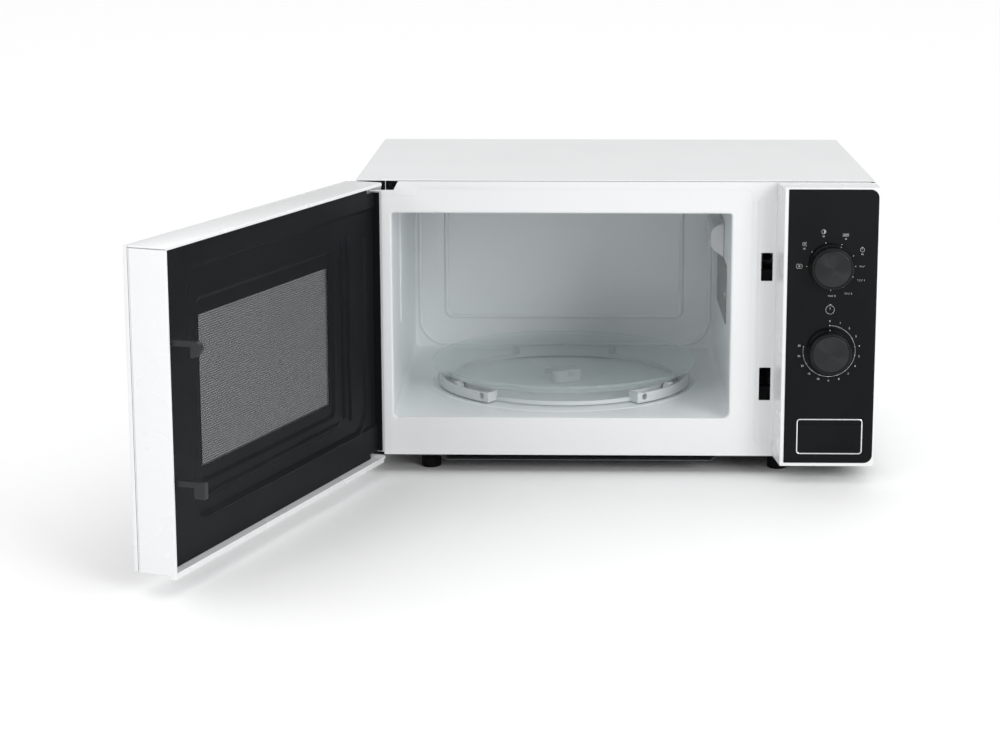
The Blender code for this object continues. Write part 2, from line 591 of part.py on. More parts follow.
# ---- door latch and interlock -------------------------------------------------------------------
def make_interlock():
    """Latch holder with its two catches, the release lever and spring, and three microswitches."""
    plate_left, plate_right = 0.1415, 0.1440
    plate = piece("latch_holder", box((plate_left, plate_right), (0.0016, 0.042), (0.050, 0.208)),
                  BLACK_PLASTIC, ROOT)
    catches = []
    for head in (HOOK_LOW_Z, HOOK_HIGH_Z):
        catches.append(box((0.1250, plate_left + 0.001), (0.0016, 0.0120), (head - 0.010, head + 0.0020)))
    bore = rod((plate_left - 0.002, LEVER_Y, LEVER_Z), (plate_right + 0.002, LEVER_Y, LEVER_Z), 0.0029, 16)
    shaped(plate, catches, [bore])
    lever = piece("release_lever", rod((0.1290, LEVER_Y, LEVER_Z), (0.1890, LEVER_Y, LEVER_Z), 0.0025),
                  WHITE_PLASTIC, ROOT)
    pushed = box((0.1835, 0.1885), (ROD_END + GAP, LEVER_Y + 0.002), (0.0395, LEVER_Z))
    arm = box((0.1290, 0.1350), (LEVER_Y - 0.002, 0.0260), (LEVER_Z - 0.0022, LEVER_Z + 0.0022))
    riser = box((0.1290, 0.1350), (0.0200, 0.0260), (LEVER_Z, LEVER_Z + 0.0115))
    shaped(lever, [pushed, arm, riser])
    spring = coil((0.1320, 0.0235), 0.0028, 0.0310, LEVER_Z - 0.0032, 6, 8)
    tube_along("lever_spring", spring, 0.0004, SPRING_STEEL, ROOT, 0)
    for name, z in (("door_switch_upper", 0.184), ("door_switch_middle", 0.128),
                    ("door_switch_lower", 0.086)):
        body = box((plate_right + GAP, plate_right + 0.0068), (0.010, 0.038), (z, z + 0.016))
        made = piece(name, body, BLACK_PLASTIC, ROOT)
        blades = [box((plate_right + 0.0030, plate_right + 0.0038), (0.036, 0.044), (z + d, z + d + 0.004))
                  for d in (0.002, 0.010)]
        plunger = box((plate_right + 0.0025, plate_right + 0.0045), (0.0085, 0.0110),
                      (z + 0.006, z + 0.009))
        shaped(made, [*blades, plunger])


# ---- power supply and cooling -------------------------------------------------------------------
DUCT_WALL = CAVITY_RIGHT + CAVITY_SHEET + GAP      # outer side of the oven box
FLOOR_TOP = BODY_BOTTOM + GAP                      # where parts stand on the base plate
MAGNETRON_Y = 0.108                                # magnetron's axis


def make_waveguide():
    """Rectangular duct from the magnetron's antenna to the mouth behind the mica cover."""
    width = 0.022
    duct = box((DUCT_WALL, DUCT_WALL + width), (0.062, 0.236), (0.112, 0.168))
    made = piece("waveguide", duct, ZINC, ROOT)
    mouth = box((DUCT_WALL - 0.001, DUCT_WALL + width - 0.0015), (0.1105, 0.2275), (0.1205, 0.1595))
    shaped(made, removed=[mouth])


def make_magnetron():
    """Yoke round a finned anode, with its filter box and the antenna's dome in the waveguide."""
    left, right, sheet = 0.1325, 0.2120, 0.0020
    front, back = MAGNETRON_Y - 0.044, MAGNETRON_Y + 0.044
    bottom, top = 0.112, 0.190
    middle = (bottom + top) / 2
    plates = boxes(((left, front, bottom), (right, back, bottom + 0.0015)),
                   ((left, front, top - 0.0015), (right, back, top)))
    yoke = piece("magnetron", plates, ZINC, ROOT)
    parts = [box((x, x + sheet), (front, back), (bottom, top)) for x in (left, right - sheet)]
    anode_radius, fin = 0.020, 0.0012
    anode_left, anode_right = left + 0.0005, right - 0.001
    parts.append(rod((anode_left, MAGNETRON_Y, middle), (anode_right, MAGNETRON_Y, middle), anode_radius, 20))
    parts.append(box((right - sheet, right + 0.008), (MAGNETRON_Y - 0.020, MAGNETRON_Y + 0.020),
                     (middle - 0.020, middle + 0.020)))
    for k in range(5):
        x = 0.148 + 0.010 * k
        parts.append(box((x, x + fin), (front + 0.004, back - 0.004), (bottom + 0.0005, top - 0.0005)))
    shaped(yoke, parts)
    antenna_z, antenna_radius = 0.140, 0.010
    shaped(yoke, [rod((DUCT_WALL + 0.0225, MAGNETRON_Y, antenna_z), (left + 0.001, MAGNETRON_Y, antenna_z),
                      antenna_radius)])


def make_high_voltage():
    """Transformer with its two windings, the capacitor's can and the diode."""
    core = box((0.1300, 0.2150), (0.110, 0.160), (FLOOR_TOP + 0.0002, 0.0900))
    made = piece("hv_transformer", core, LAMINATION, ROOT)
    winding_height = 0.022
    windings = [box((0.1420, 0.2030), (0.094, 0.176), (z, z + winding_height)) for z in (0.028, 0.056)]
    feet = box((0.1240, 0.2200), (0.118, 0.152), (FLOOR_TOP, 0.0190))
    shaped(made, [*windings, feet])

    can_top = 0.100
    can = rounded((0.1120, 0.2120), (0.1600, 0.2440), 0.0158, 6)
    made = piece("hv_capacitor", prism(can, "Z", FLOOR_TOP, can_top), ALUMINIUM, ROOT)
    tab_width, tab_height = 0.006, 0.010
    tabs = [box((x, x + tab_width), (0.2270, 0.2290), (can_top - 0.001, can_top + tab_height))
            for x in (0.125, 0.141)]
    shaped(made, tabs)

    diode_x, diode_z, body_radius, lead_radius = 0.1700, 0.030, 0.004, 0.0007
    body = rod((diode_x, 0.2100, diode_z), (diode_x, 0.2450, diode_z), body_radius, 14)
    made = piece("hv_diode", body, BLACK_PLASTIC, ROOT)
    lead_end = 0.2600
    leads = [rod((diode_x, 0.2060, diode_z), (diode_x, lead_end, diode_z), lead_radius, 6),
             rod((diode_x, lead_end, diode_z), (diode_x, lead_end, FLOOR_TOP + 0.0007), lead_radius, 6)]
    shaped(made, leads)


def make_filter_board():
    """Mains filter board on four legs, with its choke, capacitor and fuse block."""
    under, top = 0.0240, 0.0256
    board = box((0.1560, 0.2160), (0.046, 0.088), (under, top))
    made = piece("filter_board", board, BOARD_GREEN, ROOT)
    root = under + 0.001
    parts = [rod((0.172, 0.066, root), (0.172, 0.066, 0.042), 0.010, 18),
             box((0.188, 0.210), (0.056, 0.068), (root, 0.042)),
             box((0.188, 0.212), (0.072, 0.080), (root, 0.036))]
    leg = 0.003
    legs = [box((x, x + leg), (y, y + leg), (FLOOR_TOP, root))
            for x in (0.1575, 0.2115) for y in (0.0475, 0.0835)]
    shaped(made, parts + legs)


def make_cavity_sensors():
    """Thermal cut-out and lamp on the outer side of the oven box."""
    out_of_wall = Matrix.Rotation(math.radians(90), 4, "Y")
    profile = [(0, 0), (0.0115, 0), (0.0115, 0.0015), (0.0085, 0.0020), (0.0085, 0.0070), (0, 0.0070)]
    side = Matrix.Translation((DUCT_WALL, 0.080, 0.205)) @ out_of_wall
    piece("thermal_cutout", turned(profile, 20, place=side), SILVER, ROOT)
    bulb = [(0, 0), (0.0050, 0.0010), (0.0085, 0.0060), (0.0090, 0.0120), (0.0065, 0.0200), (0.0065, 0.0300),
            (0, 0.0300)]
    side = Matrix.Translation((DUCT_WALL + 0.001, LAMP_Y, LAMP_Z)) @ out_of_wall
    piece("oven_lamp", turned(bulb, 20, place=side), CLEAR_GLASS, ROOT)


def make_back_fittings():
    """Bush that the mains lead passes through, and the three cover screws."""
    out_of_back = Matrix.Rotation(math.radians(-90), 4, "X")
    face = DEPTH - 0.0003
    bore, neck, flange = 0.0045, 0.0080, 0.0110
    high = DEPTH + 0.0025
    bush = [(bore, face - 0.0097), (neck, face - 0.0097), (neck, face + GAP), (flange, face + GAP),
            (flange - 0.0010, high), (bore, high)]
    back = Matrix.Translation((INLET_X, 0, INLET_Z)) @ out_of_back
    piece("cord_inlet", turned(bush, 24, closed=True, place=back), BLACK_PLASTIC, ROOT)
    shank, head_radius, head_height = 0.0013, 0.0036, 0.0022
    head = [(0, face - 0.006), (shank, face - 0.006), (shank, face + GAP), (head_radius, face + GAP),
            (head_radius - 0.0004, face + 0.0018), (0.0022, face + head_height), (0, face + head_height)]
    for k, (x, z) in enumerate(SCREWS):
        back = Matrix.Translation((x, 0, z)) @ out_of_back
        piece(f"cover_screw_{k + 1}", turned(head, 14, place=back), ZINC, ROOT)


def make_fan():
    """Shroud, shaded-pole motor and a five-bladed fan that blows over the magnetron."""
    back = DEPTH - 0.0020
    half, sheet = 0.050, 0.0015
    hole = circle((FAN_X, FAN_Z), FAN_RADIUS + 0.003, 32)
    low, high = (0.1130, FAN_Z - half), (0.2230, FAN_Z + half)
    square = [low, (high[0], low[1]), high, (low[0], high[1])]
    made = piece("fan_duct", prism(square, "Y", back - sheet, back, [hole]), BLACK_PLASTIC, ROOT)
    ring = prism(circle((FAN_X, FAN_Z), FAN_RADIUS + 0.0045, 32), "Y", back - 0.020, back - 0.001, [hole])
    bridge, bridge_front, arm = 0.004, back - 0.047, 0.0045
    across = (FAN_Z - bridge, FAN_Z + bridge)
    arms = [box((x, x + arm), (bridge_front, back - 0.001), across)
            for x in (FAN_X - half, FAN_X + half - arm)]
    bar = box((FAN_X - half, FAN_X + half), (bridge_front, bridge_front + 0.003), across)
    shaft_hole = rod((FAN_X, bridge_front - 0.003, FAN_Z), (FAN_X, bridge_front + 0.007, FAN_Z), 0.0020, 12)
    shaped(made, [ring, *arms, bar], [shaft_hole])

    front = bridge_front - GAP
    core = box((FAN_X - 0.024, FAN_X + 0.024), (front - 0.016, front), (FAN_Z - 0.030, FAN_Z + 0.020))
    made = piece("fan_motor", core, LAMINATION, ROOT)
    winding = box((FAN_X - 0.012, FAN_X + 0.012), (front - 0.026, front - 0.001),
                  (FAN_Z - 0.027, FAN_Z - 0.012))
    shaft = rod((FAN_X, front - 0.022, FAN_Z), (FAN_X, back - 0.012, FAN_Z), 0.0015, 12)
    shaped(made, [winding, shaft])

    bore, hub, hub_low, hub_high = 0.0018, 0.009, 0.002, 0.016
    profile = [(bore, hub_low), (hub, hub_low), (hub, hub_high), (bore, hub_high)]
    blades = piece("fan_blade", turned(profile, 20, closed=True), PALE_PLASTIC, FAN)
    pitch_deg, half_chord, half_sheet = 28, 0.010, 0.0007
    vanes = []
    for k in range(5):
        vane = box((hub - 0.0015, FAN_RADIUS), (-half_chord, half_chord), (-half_sheet, half_sheet))
        twist = Matrix.Rotation(math.radians(pitch_deg), 4, "X")
        spin = Matrix.Rotation(math.radians(72 * k), 4, "Z")
        vane.transform(spin @ Matrix.Translation((0, 0, (hub_low + hub_high) / 2)) @ twist)
        vanes.append(vane)
    shaped(blades, vanes)


# ---- hinges and door ----------------------------------------------------------------------------
def make_hinges():
    """Steel brackets that pass through the front plate, with the pins that carry the door."""
    pin = 0.0022
    for name, low, high, pin_low, pin_high, tab_low, tab_high in (
            ("top_hinge", 0.2545, 0.2570, 0.2460, 0.2550, 0.2360, 0.2570),
            ("bottom_hinge", 0.0200, 0.0225, 0.0220, 0.0310, 0.0200, 0.0400)):
        reach, rear = 0.0050, 0.0024
        plate = arc((HINGE_X, HINGE_Y), reach, 180, 360, 8)
        plate += [(HINGE_X + reach, rear), (HINGE_X - reach, rear)]
        made = piece(name, prism(plate, "Z", low, high), ZINC, ROOT)
        tab = box((HINGE_X - reach, -0.2030), (0.0014, 0.0030), (tab_low, tab_high))
        shaft = rod((HINGE_X, HINGE_Y, pin_low), (HINGE_X, HINGE_Y, pin_high), pin, 16)
        shaped(made, [tab, shaft])


def make_door_frame():
    """White moulded frame: four walls, a shelf for the glass, hinge bosses and a spring ledge."""
    wall = 0.0022
    back = FACE + 0.0040
    chamfer = [(U_LEFT, back), (U_RIGHT, back), (U_RIGHT, RIM), (-0.0045, RIM), (U_LEFT, 0.0130)]
    frame = piece("door_frame", prism(chamfer, "Z", DOOR_BOTTOM, DOOR_TOP), WHITE_PLASTIC, DOOR)
    inner = [(U_LEFT + wall, back + 0.0020), (U_RIGHT - wall, back + 0.0020), (U_RIGHT - wall, RIM + 0.001),
             (U_LEFT + wall, RIM + 0.001)]
    pocket = prism(inner, "Z", DOOR_BOTTOM + wall, DOOR_TOP - wall)
    window = box((0.030, 0.335), (back - 0.001, back + 0.003), (0.045, 0.236))
    # room for the two hinge brackets, which sweep from behind the door to past its hinge edge
    sweeps = boxes(((U_LEFT - 0.001, -0.0085, 0.2540), (0.0100, RIM + 0.001, 0.2575)),
                   ((U_LEFT - 0.001, -0.0085, 0.0194), (0.0100, RIM + 0.001, 0.0230)))
    lip = box((-0.002, U_RIGHT), (RIM - 0.006, RIM), (DOOR_BOTTOM - 0.003, DOOR_BOTTOM + 0.0008))
    shaped(frame, [lip], [pocket, window, sweeps])
    bosses, bores = [], []
    for low, high in ((0.2450, 0.2538), (0.0232, 0.0320)):
        bosses.append(rod((0, 0, low), (0, 0, high), 0.0045, 16))
        bosses.append(box((U_LEFT + 0.001, -0.0010), (-0.0035, 0.0035), (low, high)))
        bores.append(rod((0, 0, low - 0.001), (0, 0, high + 0.001), 0.0025, 16))
    ledge = box((0.3440, U_RIGHT - 0.001), (-0.0060, 0.0020), (SPRING_TOP + GAP, SPRING_TOP + 0.0025))
    shaped(frame, [*bosses, ledge], bores)


def make_door_front():
    """White front border with the outer glass set into it."""
    border = 0.0036
    low, high = (U_LEFT, DOOR_BOTTOM), (U_RIGHT, DOOR_TOP)
    outline = rounded(low, high, 0.003, 3, (True, False, False, True))
    left_round = (True, False, False, True)
    opening = rounded((low[0] + border, low[1] + border), (high[0] - border, high[1] - border),
                      0.007, 4, left_round)
    mesh = prism(outline, "Y", FACE, FACE + 0.0037, [opening])
    piece("door_front_border", mesh, WHITE_PLASTIC, DOOR)
    edge = border + GAP
    glass = rounded((low[0] + edge, low[1] + edge), (high[0] - edge, high[1] - edge), 0.0067, 4, left_round)
    piece("door_glass", prism(glass, "Y", FACE + 0.0003, FACE + 0.0033), SMOKED_GLASS, DOOR)


def make_door_inside():
    """Steel screen pan that seals the microwaves in, clear film and the black inner cover."""
    pan = box((0.0100, 0.3430), (-0.0120, SCREEN_DEPTH + 0.0008), (0.0345, 0.2430))
    made = piece("door_screen", pan, DARK_STEEL, DOOR)
    hollow = box((0.0110, 0.3420), (-0.0130, SCREEN_DEPTH), (0.0355, 0.2420))
    shaped(made, removed=[hollow])
    film = box((WINDOW_LEFT - 0.012, WINDOW_RIGHT + 0.012), (SCREEN_DEPTH + 0.0012, SCREEN_DEPTH + 0.0015),
               (WINDOW_BOTTOM - 0.012, WINDOW_TOP + 0.012))
    piece("window_film", film, CLEAR_GLASS, DOOR)
    inset = 0.0022 + GAP
    left, right = U_LEFT + inset, U_RIGHT - inset
    low, high = DOOR_BOTTOM + inset, DOOR_TOP - inset
    # small corners are left out where the hinge brackets swing past
    notch_right, notch_low, notch_high = 0.0100, 0.0240, 0.2530
    outline = [(notch_right, low), (right, low), (right, high), (notch_right, high),
               (notch_right, notch_high), (left, notch_high), (left, notch_low), (notch_right, notch_low)]
    window = rounded((WINDOW_LEFT, WINDOW_BOTTOM), (WINDOW_RIGHT, WINDOW_TOP), 0.004, 3)
    slots = [[(0.3455, z - 0.002), (0.3532, z - 0.002), (0.3532, z + 0.018), (0.3455, z + 0.018)]
             for z in (HOOK_LOW_Z, HOOK_HIGH_Z)]
    mesh = prism(outline, "Y", COVER_V - 0.0020, COVER_V, [window, *slots])
    piece("door_inner_cover", mesh, BLACK_PLASTIC, DOOR)


def make_latch():
    """One sliding bar with both hooks, and the spring that keeps it down."""
    left, right = 0.3470, 0.3518
    bar_front, bar_back = -0.0060, 0.0020
    tip = RIM + HOOK_REACH
    bar = piece("latch_hooks", box((left, right), (bar_front, bar_back), (0.0700, 0.2060)),
                BLACK_PLASTIC, DOOR)
    parts = []
    for z in (HOOK_LOW_Z, HOOK_HIGH_Z):
        parts.append(box((left, right), (bar_back - 0.001, tip), (z + 0.0070, z + 0.0125)))
    parts.append(box((left, right), (tip - 0.0090, tip), (HOOK_LOW_Z, HOOK_LOW_Z + 0.0120)))
    head = circle((tip - 0.0065, HOOK_HIGH_Z + 0.0065), 0.0064, 16)
    parts.append(prism(head, "X", left, right))
    shaped(bar, parts)
    middle = ((left + right) / 2, (bar_front + bar_back) / 2)
    spring = coil(middle, 0.0018, 0.2060 + 0.0008, SPRING_TOP - 0.0006, 5, 8)
    tube_along("latch_spring", spring, 0.0004, SPRING_STEEL, DOOR, 0)


# ---- build --------------------------------------------------------------------------------------
def stand_on_origin():
    """Moves the oven so that the bottom centre of its bounding box is the world origin."""
    bpy.context.view_layer.update()
    graph = bpy.context.evaluated_depsgraph_get()
    corners = []
    for thing in bpy.data.objects:
        if thing.type == "EMPTY":
            continue
        mesh = thing.evaluated_get(graph).to_mesh()
        corners += [thing.matrix_world @ vert.co for vert in mesh.vertices]
    low = [min(c[k] for c in corners) for k in range(3)]
    high = [max(c[k] for c in corners) for k in range(3)]
    ROOT.location = (-(low[0] + high[0]) / 2, -(low[1] + high[1]) / 2, -low[2])


def build():
    make_outer_cover()
    make_rear_panel()
    make_base_plate()
    make_feet()
    make_front_plate()
    make_cavity()
    make_cavity_fittings()
    make_turntable_drive()
    make_glass_turntable()
    make_roller_ring()
    make_control_panel()
    make_knob("selector_knob", SELECTOR, SELECTOR_REST_DEG)
    make_knob("timer_knob", TIMER, TIMER_REST_DEG)
    make_button()
    make_switches()
    make_interlock()
    make_waveguide()
    make_magnetron()
    make_high_voltage()
    make_filter_board()
    make_cavity_sensors()
    make_back_fittings()
    make_fan()
    make_hinges()
    make_door_frame()
    make_door_front()
    make_door_inside()
    make_latch()
    stand_on_origin()


build()
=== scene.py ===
"""Looks of a countertop microwave oven with its door open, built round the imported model.

Metres, +Z up. Cabinet pieces are made in the cabinet's frame (X from its middle, Y back from the
front plate's face, Z up from the feet) and door pieces in the door's frame (u from the hinge axis
towards the free end, v towards the cabinet, z up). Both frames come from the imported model.
"""
import json
import math

import bmesh
import bpy
from mathutils import Matrix, Vector


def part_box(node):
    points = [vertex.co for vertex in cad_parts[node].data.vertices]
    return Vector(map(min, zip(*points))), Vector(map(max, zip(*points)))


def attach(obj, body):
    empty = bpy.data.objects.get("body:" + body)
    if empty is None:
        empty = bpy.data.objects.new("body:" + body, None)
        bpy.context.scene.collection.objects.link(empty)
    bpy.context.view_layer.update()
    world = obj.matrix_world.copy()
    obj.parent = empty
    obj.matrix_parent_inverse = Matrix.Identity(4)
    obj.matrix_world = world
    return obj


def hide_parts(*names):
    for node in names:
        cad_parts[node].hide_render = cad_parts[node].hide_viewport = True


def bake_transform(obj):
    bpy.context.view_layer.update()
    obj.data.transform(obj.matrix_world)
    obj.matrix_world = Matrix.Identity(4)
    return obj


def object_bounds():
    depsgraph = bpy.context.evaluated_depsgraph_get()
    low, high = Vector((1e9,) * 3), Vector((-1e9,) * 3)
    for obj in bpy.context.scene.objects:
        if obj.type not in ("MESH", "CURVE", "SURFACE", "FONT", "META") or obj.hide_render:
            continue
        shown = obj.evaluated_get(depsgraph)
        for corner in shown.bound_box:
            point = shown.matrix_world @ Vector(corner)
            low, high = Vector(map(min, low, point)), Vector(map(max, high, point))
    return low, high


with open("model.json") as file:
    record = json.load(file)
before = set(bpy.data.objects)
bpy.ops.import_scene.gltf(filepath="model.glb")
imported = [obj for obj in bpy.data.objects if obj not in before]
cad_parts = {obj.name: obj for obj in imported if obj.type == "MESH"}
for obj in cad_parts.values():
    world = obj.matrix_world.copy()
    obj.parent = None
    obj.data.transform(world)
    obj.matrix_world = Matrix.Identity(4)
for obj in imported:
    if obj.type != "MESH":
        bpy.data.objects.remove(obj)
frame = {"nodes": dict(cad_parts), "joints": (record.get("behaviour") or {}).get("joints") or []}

CAD_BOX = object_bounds()
HINGE = next(joint for joint in frame["joints"] if joint["name"] == "door_hinge")
OPEN_ANGLE = math.radians(HINGE["range_deg"][1])
COVER_LOW, COVER_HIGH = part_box("outer_cover")
ORIGIN = Vector(((COVER_LOW.x + COVER_HIGH.x) / 2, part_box("front_plate")[0].y, CAD_BOX[0].z))
CABINET = Matrix.Translation(ORIGIN)
DOOR = Matrix.Translation((*HINGE["pos_m"][:2], ORIGIN.z)) @ Matrix.Rotation(-OPEN_ANGLE, 4, "Z")


def span(node, place=CABINET):
    """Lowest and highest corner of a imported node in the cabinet's or the door's frame."""
    back = place.inverted()
    points = [back @ vert.co for vert in frame["nodes"][node].data.vertices]
    return tuple(Vector([pick(p[k] for p in points) for k in range(3)]) for pick in (min, max))


def joint_place(name):
    """Where a joint's axis is, in the cabinet's frame."""
    spot = next(joint for joint in frame["joints"] if joint["name"] == name)["pos_m"]
    return Vector(spot) - ORIGIN


# ---- camera, light and floor --------------------------------------------------------------------
EYE = Vector((-0.031, -1.917, 0.5246))        # from the front plate's middle, at floor level
LOOK_DOWN, LOOK_RIGHT = 0.1965, -0.0177       # radians
LENS, SENSOR = 80.4, 36.0
SHIFT_X, SHIFT_Y = -0.04, -0.06
WORLD_STRENGTH = 0.42
FLOOR_HALF, FLOOR_GAP = 30, 0.0001            # half the floor's width, and its drop below the feet


def linked(name, mesh):
    """An object in the scene, made from a bmesh that is used up."""
    data = bpy.data.meshes.new(name)
    mesh.to_mesh(data)
    mesh.free()
    made = bpy.data.objects.new(name, data)
    bpy.context.collection.objects.link(made)
    return made


def make_camera():
    data = bpy.data.cameras.new("camera")
    data.lens = LENS
    data.sensor_width = SENSOR
    data.shift_x = SHIFT_X
    data.shift_y = SHIFT_Y
    data.clip_end = 100
    camera = bpy.data.objects.new("camera", data)
    camera.location = ORIGIN + EYE
    camera.rotation_euler = (math.pi / 2 - LOOK_DOWN, 0, -LOOK_RIGHT)
    bpy.context.collection.objects.link(camera)
    bpy.context.scene.camera = camera


def softbox(name, place, size, power, target=(0, 0.05, 0.12)):
    data = bpy.data.lights.new(name, "AREA")
    data.shape = "RECTANGLE"
    data.size, data.size_y = size
    data.energy = power
    lamp = bpy.data.objects.new(name, data)
    lamp.location = ORIGIN + Vector(place)
    aim = Vector(target) - Vector(place)
    lamp.rotation_euler = aim.to_track_quat("-Z", "Y").to_euler()
    bpy.context.collection.objects.link(lamp)


def make_studio():
    world = bpy.data.worlds.new("studio")
    world.use_nodes = True
    background = world.node_tree.nodes["Background"]
    background.inputs["Color"].default_value = (1.0, 1.0, 1.0, 1.0)
    background.inputs["Strength"].default_value = WORLD_STRENGTH
    bpy.context.scene.world = world
    bpy.context.scene.view_settings.view_transform = "Standard"
    softbox("key_right", (1.5, -2.1, 0.95), (1.1, 0.9), 26, (-0.05, 0.15, 0.14))
    softbox("fill_left", (-1.6, -2.0, 1.1), (0.8, 0.8), 10, (0.05, 0.0, 0.14))
    softbox("overhead", (0.0, 7.0, 8.0), (26, 26), 1900, (0.0, 7.0, 0.0))
    mesh = bmesh.new()
    bmesh.ops.create_grid(mesh, x_segments=8, y_segments=8, size=FLOOR_HALF)
    floor = linked("floor", mesh)
    floor.location = (0, 0, CAD_BOX[0].z - FLOOR_GAP)
    floor.data.materials.append(FLOOR)


# ---- materials ----------------------------------------------------------------------------------
BUMP_HEIGHT = 0.0004


def add_node(made, kind, **inputs):
    """A new shader node in a material, with constants on its sockets."""
    node = made.node_tree.nodes.new("ShaderNode" + kind)
    for socket, value in inputs.items():
        node.inputs[socket.replace("_", " ")].default_value = value
    return node


def finish(name, colour, roughness, metallic=0.0, variation=0.05, blotch=14.0, grain=1400.0, bump=0.03,
           rough_spread=0.06, stretch=(1, 1, 1), pattern="noise", **sockets):
    """A Principled material whose colour, roughness and surface all vary over the piece.

    blotch is the scale of the slow colour change, grain that of the fine surface relief; stretch
    draws the grain out along an axis, as brushing does; sockets are constants set on the shader."""
    made = bpy.data.materials.new(name)
    made.use_nodes = True
    shader, link = made.node_tree.nodes["Principled BSDF"], made.node_tree.links.new
    shader.inputs["Metallic"].default_value = metallic
    for socket, value in sockets.items():
        shader.inputs[socket.replace("_", " ")].default_value = value
    place = add_node(made, "TexCoord")
    drawn = add_node(made, "Mapping", Scale=stretch)
    link(place.outputs["Object"], drawn.inputs["Vector"])
    slow = add_node(made, "TexNoise", Scale=blotch, Detail=3)
    link(place.outputs["Object"], slow.inputs["Vector"])
    if pattern == "cells":
        fine = add_node(made, "TexVoronoi", Scale=grain)
        relief, tint = fine.outputs["Distance"], fine.outputs["Color"]
    elif pattern == "bands":
        fine = add_node(made, "TexWave", Scale=grain, Distortion=0.4)
        fine.wave_type, fine.bands_direction = "BANDS", "X"
        relief = tint = fine.outputs["Fac"]
    else:
        fine = add_node(made, "TexNoise", Scale=grain, Detail=4)
        relief, tint = fine.outputs["Fac"], slow.outputs["Fac"]
    link(drawn.outputs["Vector"], fine.inputs["Vector"])

    shade = add_node(made, "Mix")
    shade.data_type = "RGBA"
    dark = [channel * (1 - variation) for channel in colour]
    light = [min(1.0, channel * (1 + variation * 0.6) + variation * 0.02) for channel in colour]
    shade.inputs[6].default_value = (*dark, 1)
    shade.inputs[7].default_value = (*light, 1)
    link(tint, shade.inputs[0])
    link(shade.outputs[2], shader.inputs["Base Color"])

    gloss = add_node(made, "MapRange", To_Min=max(0.0, roughness - rough_spread / 2),
                     To_Max=roughness + rough_spread / 2)
    link(slow.outputs["Fac"], gloss.inputs["Value"])
    link(gloss.outputs["Result"], shader.inputs["Roughness"])

    press = add_node(made, "Bump", Strength=bump, Distance=BUMP_HEIGHT)
    link(relief, press.inputs["Height"])
    link(press.outputs["Normal"], shader.inputs["Normal"])
    return made


WHITE_STEEL = finish("white_powder_coat", (0.785, 0.800, 0.805), 0.34, grain=2600, bump=0.10, variation=0.02,
                     Coat_Weight=0.15)
CAVITY_PAINT = finish("grey_oven_enamel", (0.90, 0.937, 0.947), 0.30, grain=1800, bump=0.10, variation=0.03,
                      Coat_Weight=0.25)
ZINC = finish("zinc_plate", (0.62, 0.63, 0.64), 0.36, 1.0, grain=160, pattern="cells", variation=0.12,
              bump=0.04)
DARK_STEEL = finish("dark_coated_steel", (0.045, 0.05, 0.054), 0.42, grain=2200, bump=0.12, variation=0.15)
SCREEN_BLACK = finish("black_enamelled_screen", (0.012, 0.013, 0.015), 0.45, grain=2600, bump=0.08,
                      variation=0.2, Specular_IOR_Level=0.3)
ELEMENT = finish("heat_tinted_sheath", (0.16, 0.155, 0.15), 0.38, 0.9, grain=700, bump=0.15, variation=0.35,
                 blotch=40, stretch=(0.2, 1, 1))
LAMINATION = finish("stacked_laminations", (0.20, 0.20, 0.21), 0.48, 0.9, grain=260, pattern="bands",
                    variation=0.3, bump=0.3)
ALUMINIUM = finish("plain_aluminium", (0.76, 0.77, 0.78), 0.30, 1.0, grain=900, stretch=(0.05, 1, 1),
                   variation=0.06, bump=0.12)
SPRING = finish("bright_spring_wire", (0.55, 0.55, 0.56), 0.28, 1.0, grain=1500, bump=0.05)
SILVER = finish("satin_silver_trim", (0.86, 0.87, 0.88), 0.24, 0.85, grain=1200, stretch=(0.05, 1, 1),
                bump=0.03, variation=0.03)
WHITE_PLASTIC = finish("white_moulded_plastic", (0.80, 0.812, 0.818), 0.27, grain=3000, bump=0.05,
                       variation=0.01, Coat_Weight=0.1)
BLACK_PLASTIC = finish("satin_black_moulding", (0.0075, 0.0090, 0.0102), 0.42, grain=3200, bump=0.14,
                       variation=0.2, Specular_IOR_Level=0.06)
# Painted shade: the latch holder is made near-black, darker than any real plastic, so the latch slots in the
# front plate read as dark shaded holes.
HOLDER_PAINTED_SHADE = finish("holder_black_painted_shade", (0.0012, 0.0013, 0.0014), 0.6, grain=2200, bump=0.1,
                        variation=0.3, Specular_IOR_Level=0.03)
HOOK_PLASTIC = finish("dark_grey_acetal", (0.021, 0.0235, 0.0255), 0.36, grain=2500, bump=0.08,
                      variation=0.15, Specular_IOR_Level=0.25)
GLOSS_BLACK = finish("piano_black_panel", (0.0035, 0.0043, 0.0050), 0.10, grain=60, bump=0.015,
                     variation=0.25, rough_spread=0.05, Specular_IOR_Level=0.09)
KNOB_SIDE = finish("black_knob_skirt", (0.004, 0.0045, 0.005), 0.30, grain=2200, bump=0.08, variation=0.2,
                   Specular_IOR_Level=0.2)
PALE_PLASTIC = finish("pale_grey_acetal", (0.72, 0.745, 0.75), 0.38, grain=1500, bump=0.06, variation=0.04)
RUBBER = finish("black_rubber", (0.0030, 0.0033, 0.0036), 0.65, grain=1600, bump=0.2, variation=0.3,
                Specular_IOR_Level=0.08)
MICA = finish("mica_sheet", (0.36, 0.365, 0.36), 0.42, grain=420, pattern="cells", variation=0.25, bump=0.12)
BOARD = finish("green_solder_mask", (0.03, 0.16, 0.08), 0.38, grain=300, pattern="cells", variation=0.2,
               bump=0.1)
MARKS = finish("grey_screen_print", (0.62, 0.64, 0.65), 0.5, grain=2500, bump=0.03, variation=0.06)
PRINT = finish("black_glass_print", (0.008, 0.009, 0.010), 0.35, grain=1800, bump=0.05, variation=0.2)
FLOOR = finish("pale_studio_floor", (0.95, 0.95, 0.95), 0.55, grain=60, bump=0.004, variation=0.01,
               Specular_IOR_Level=0.2)


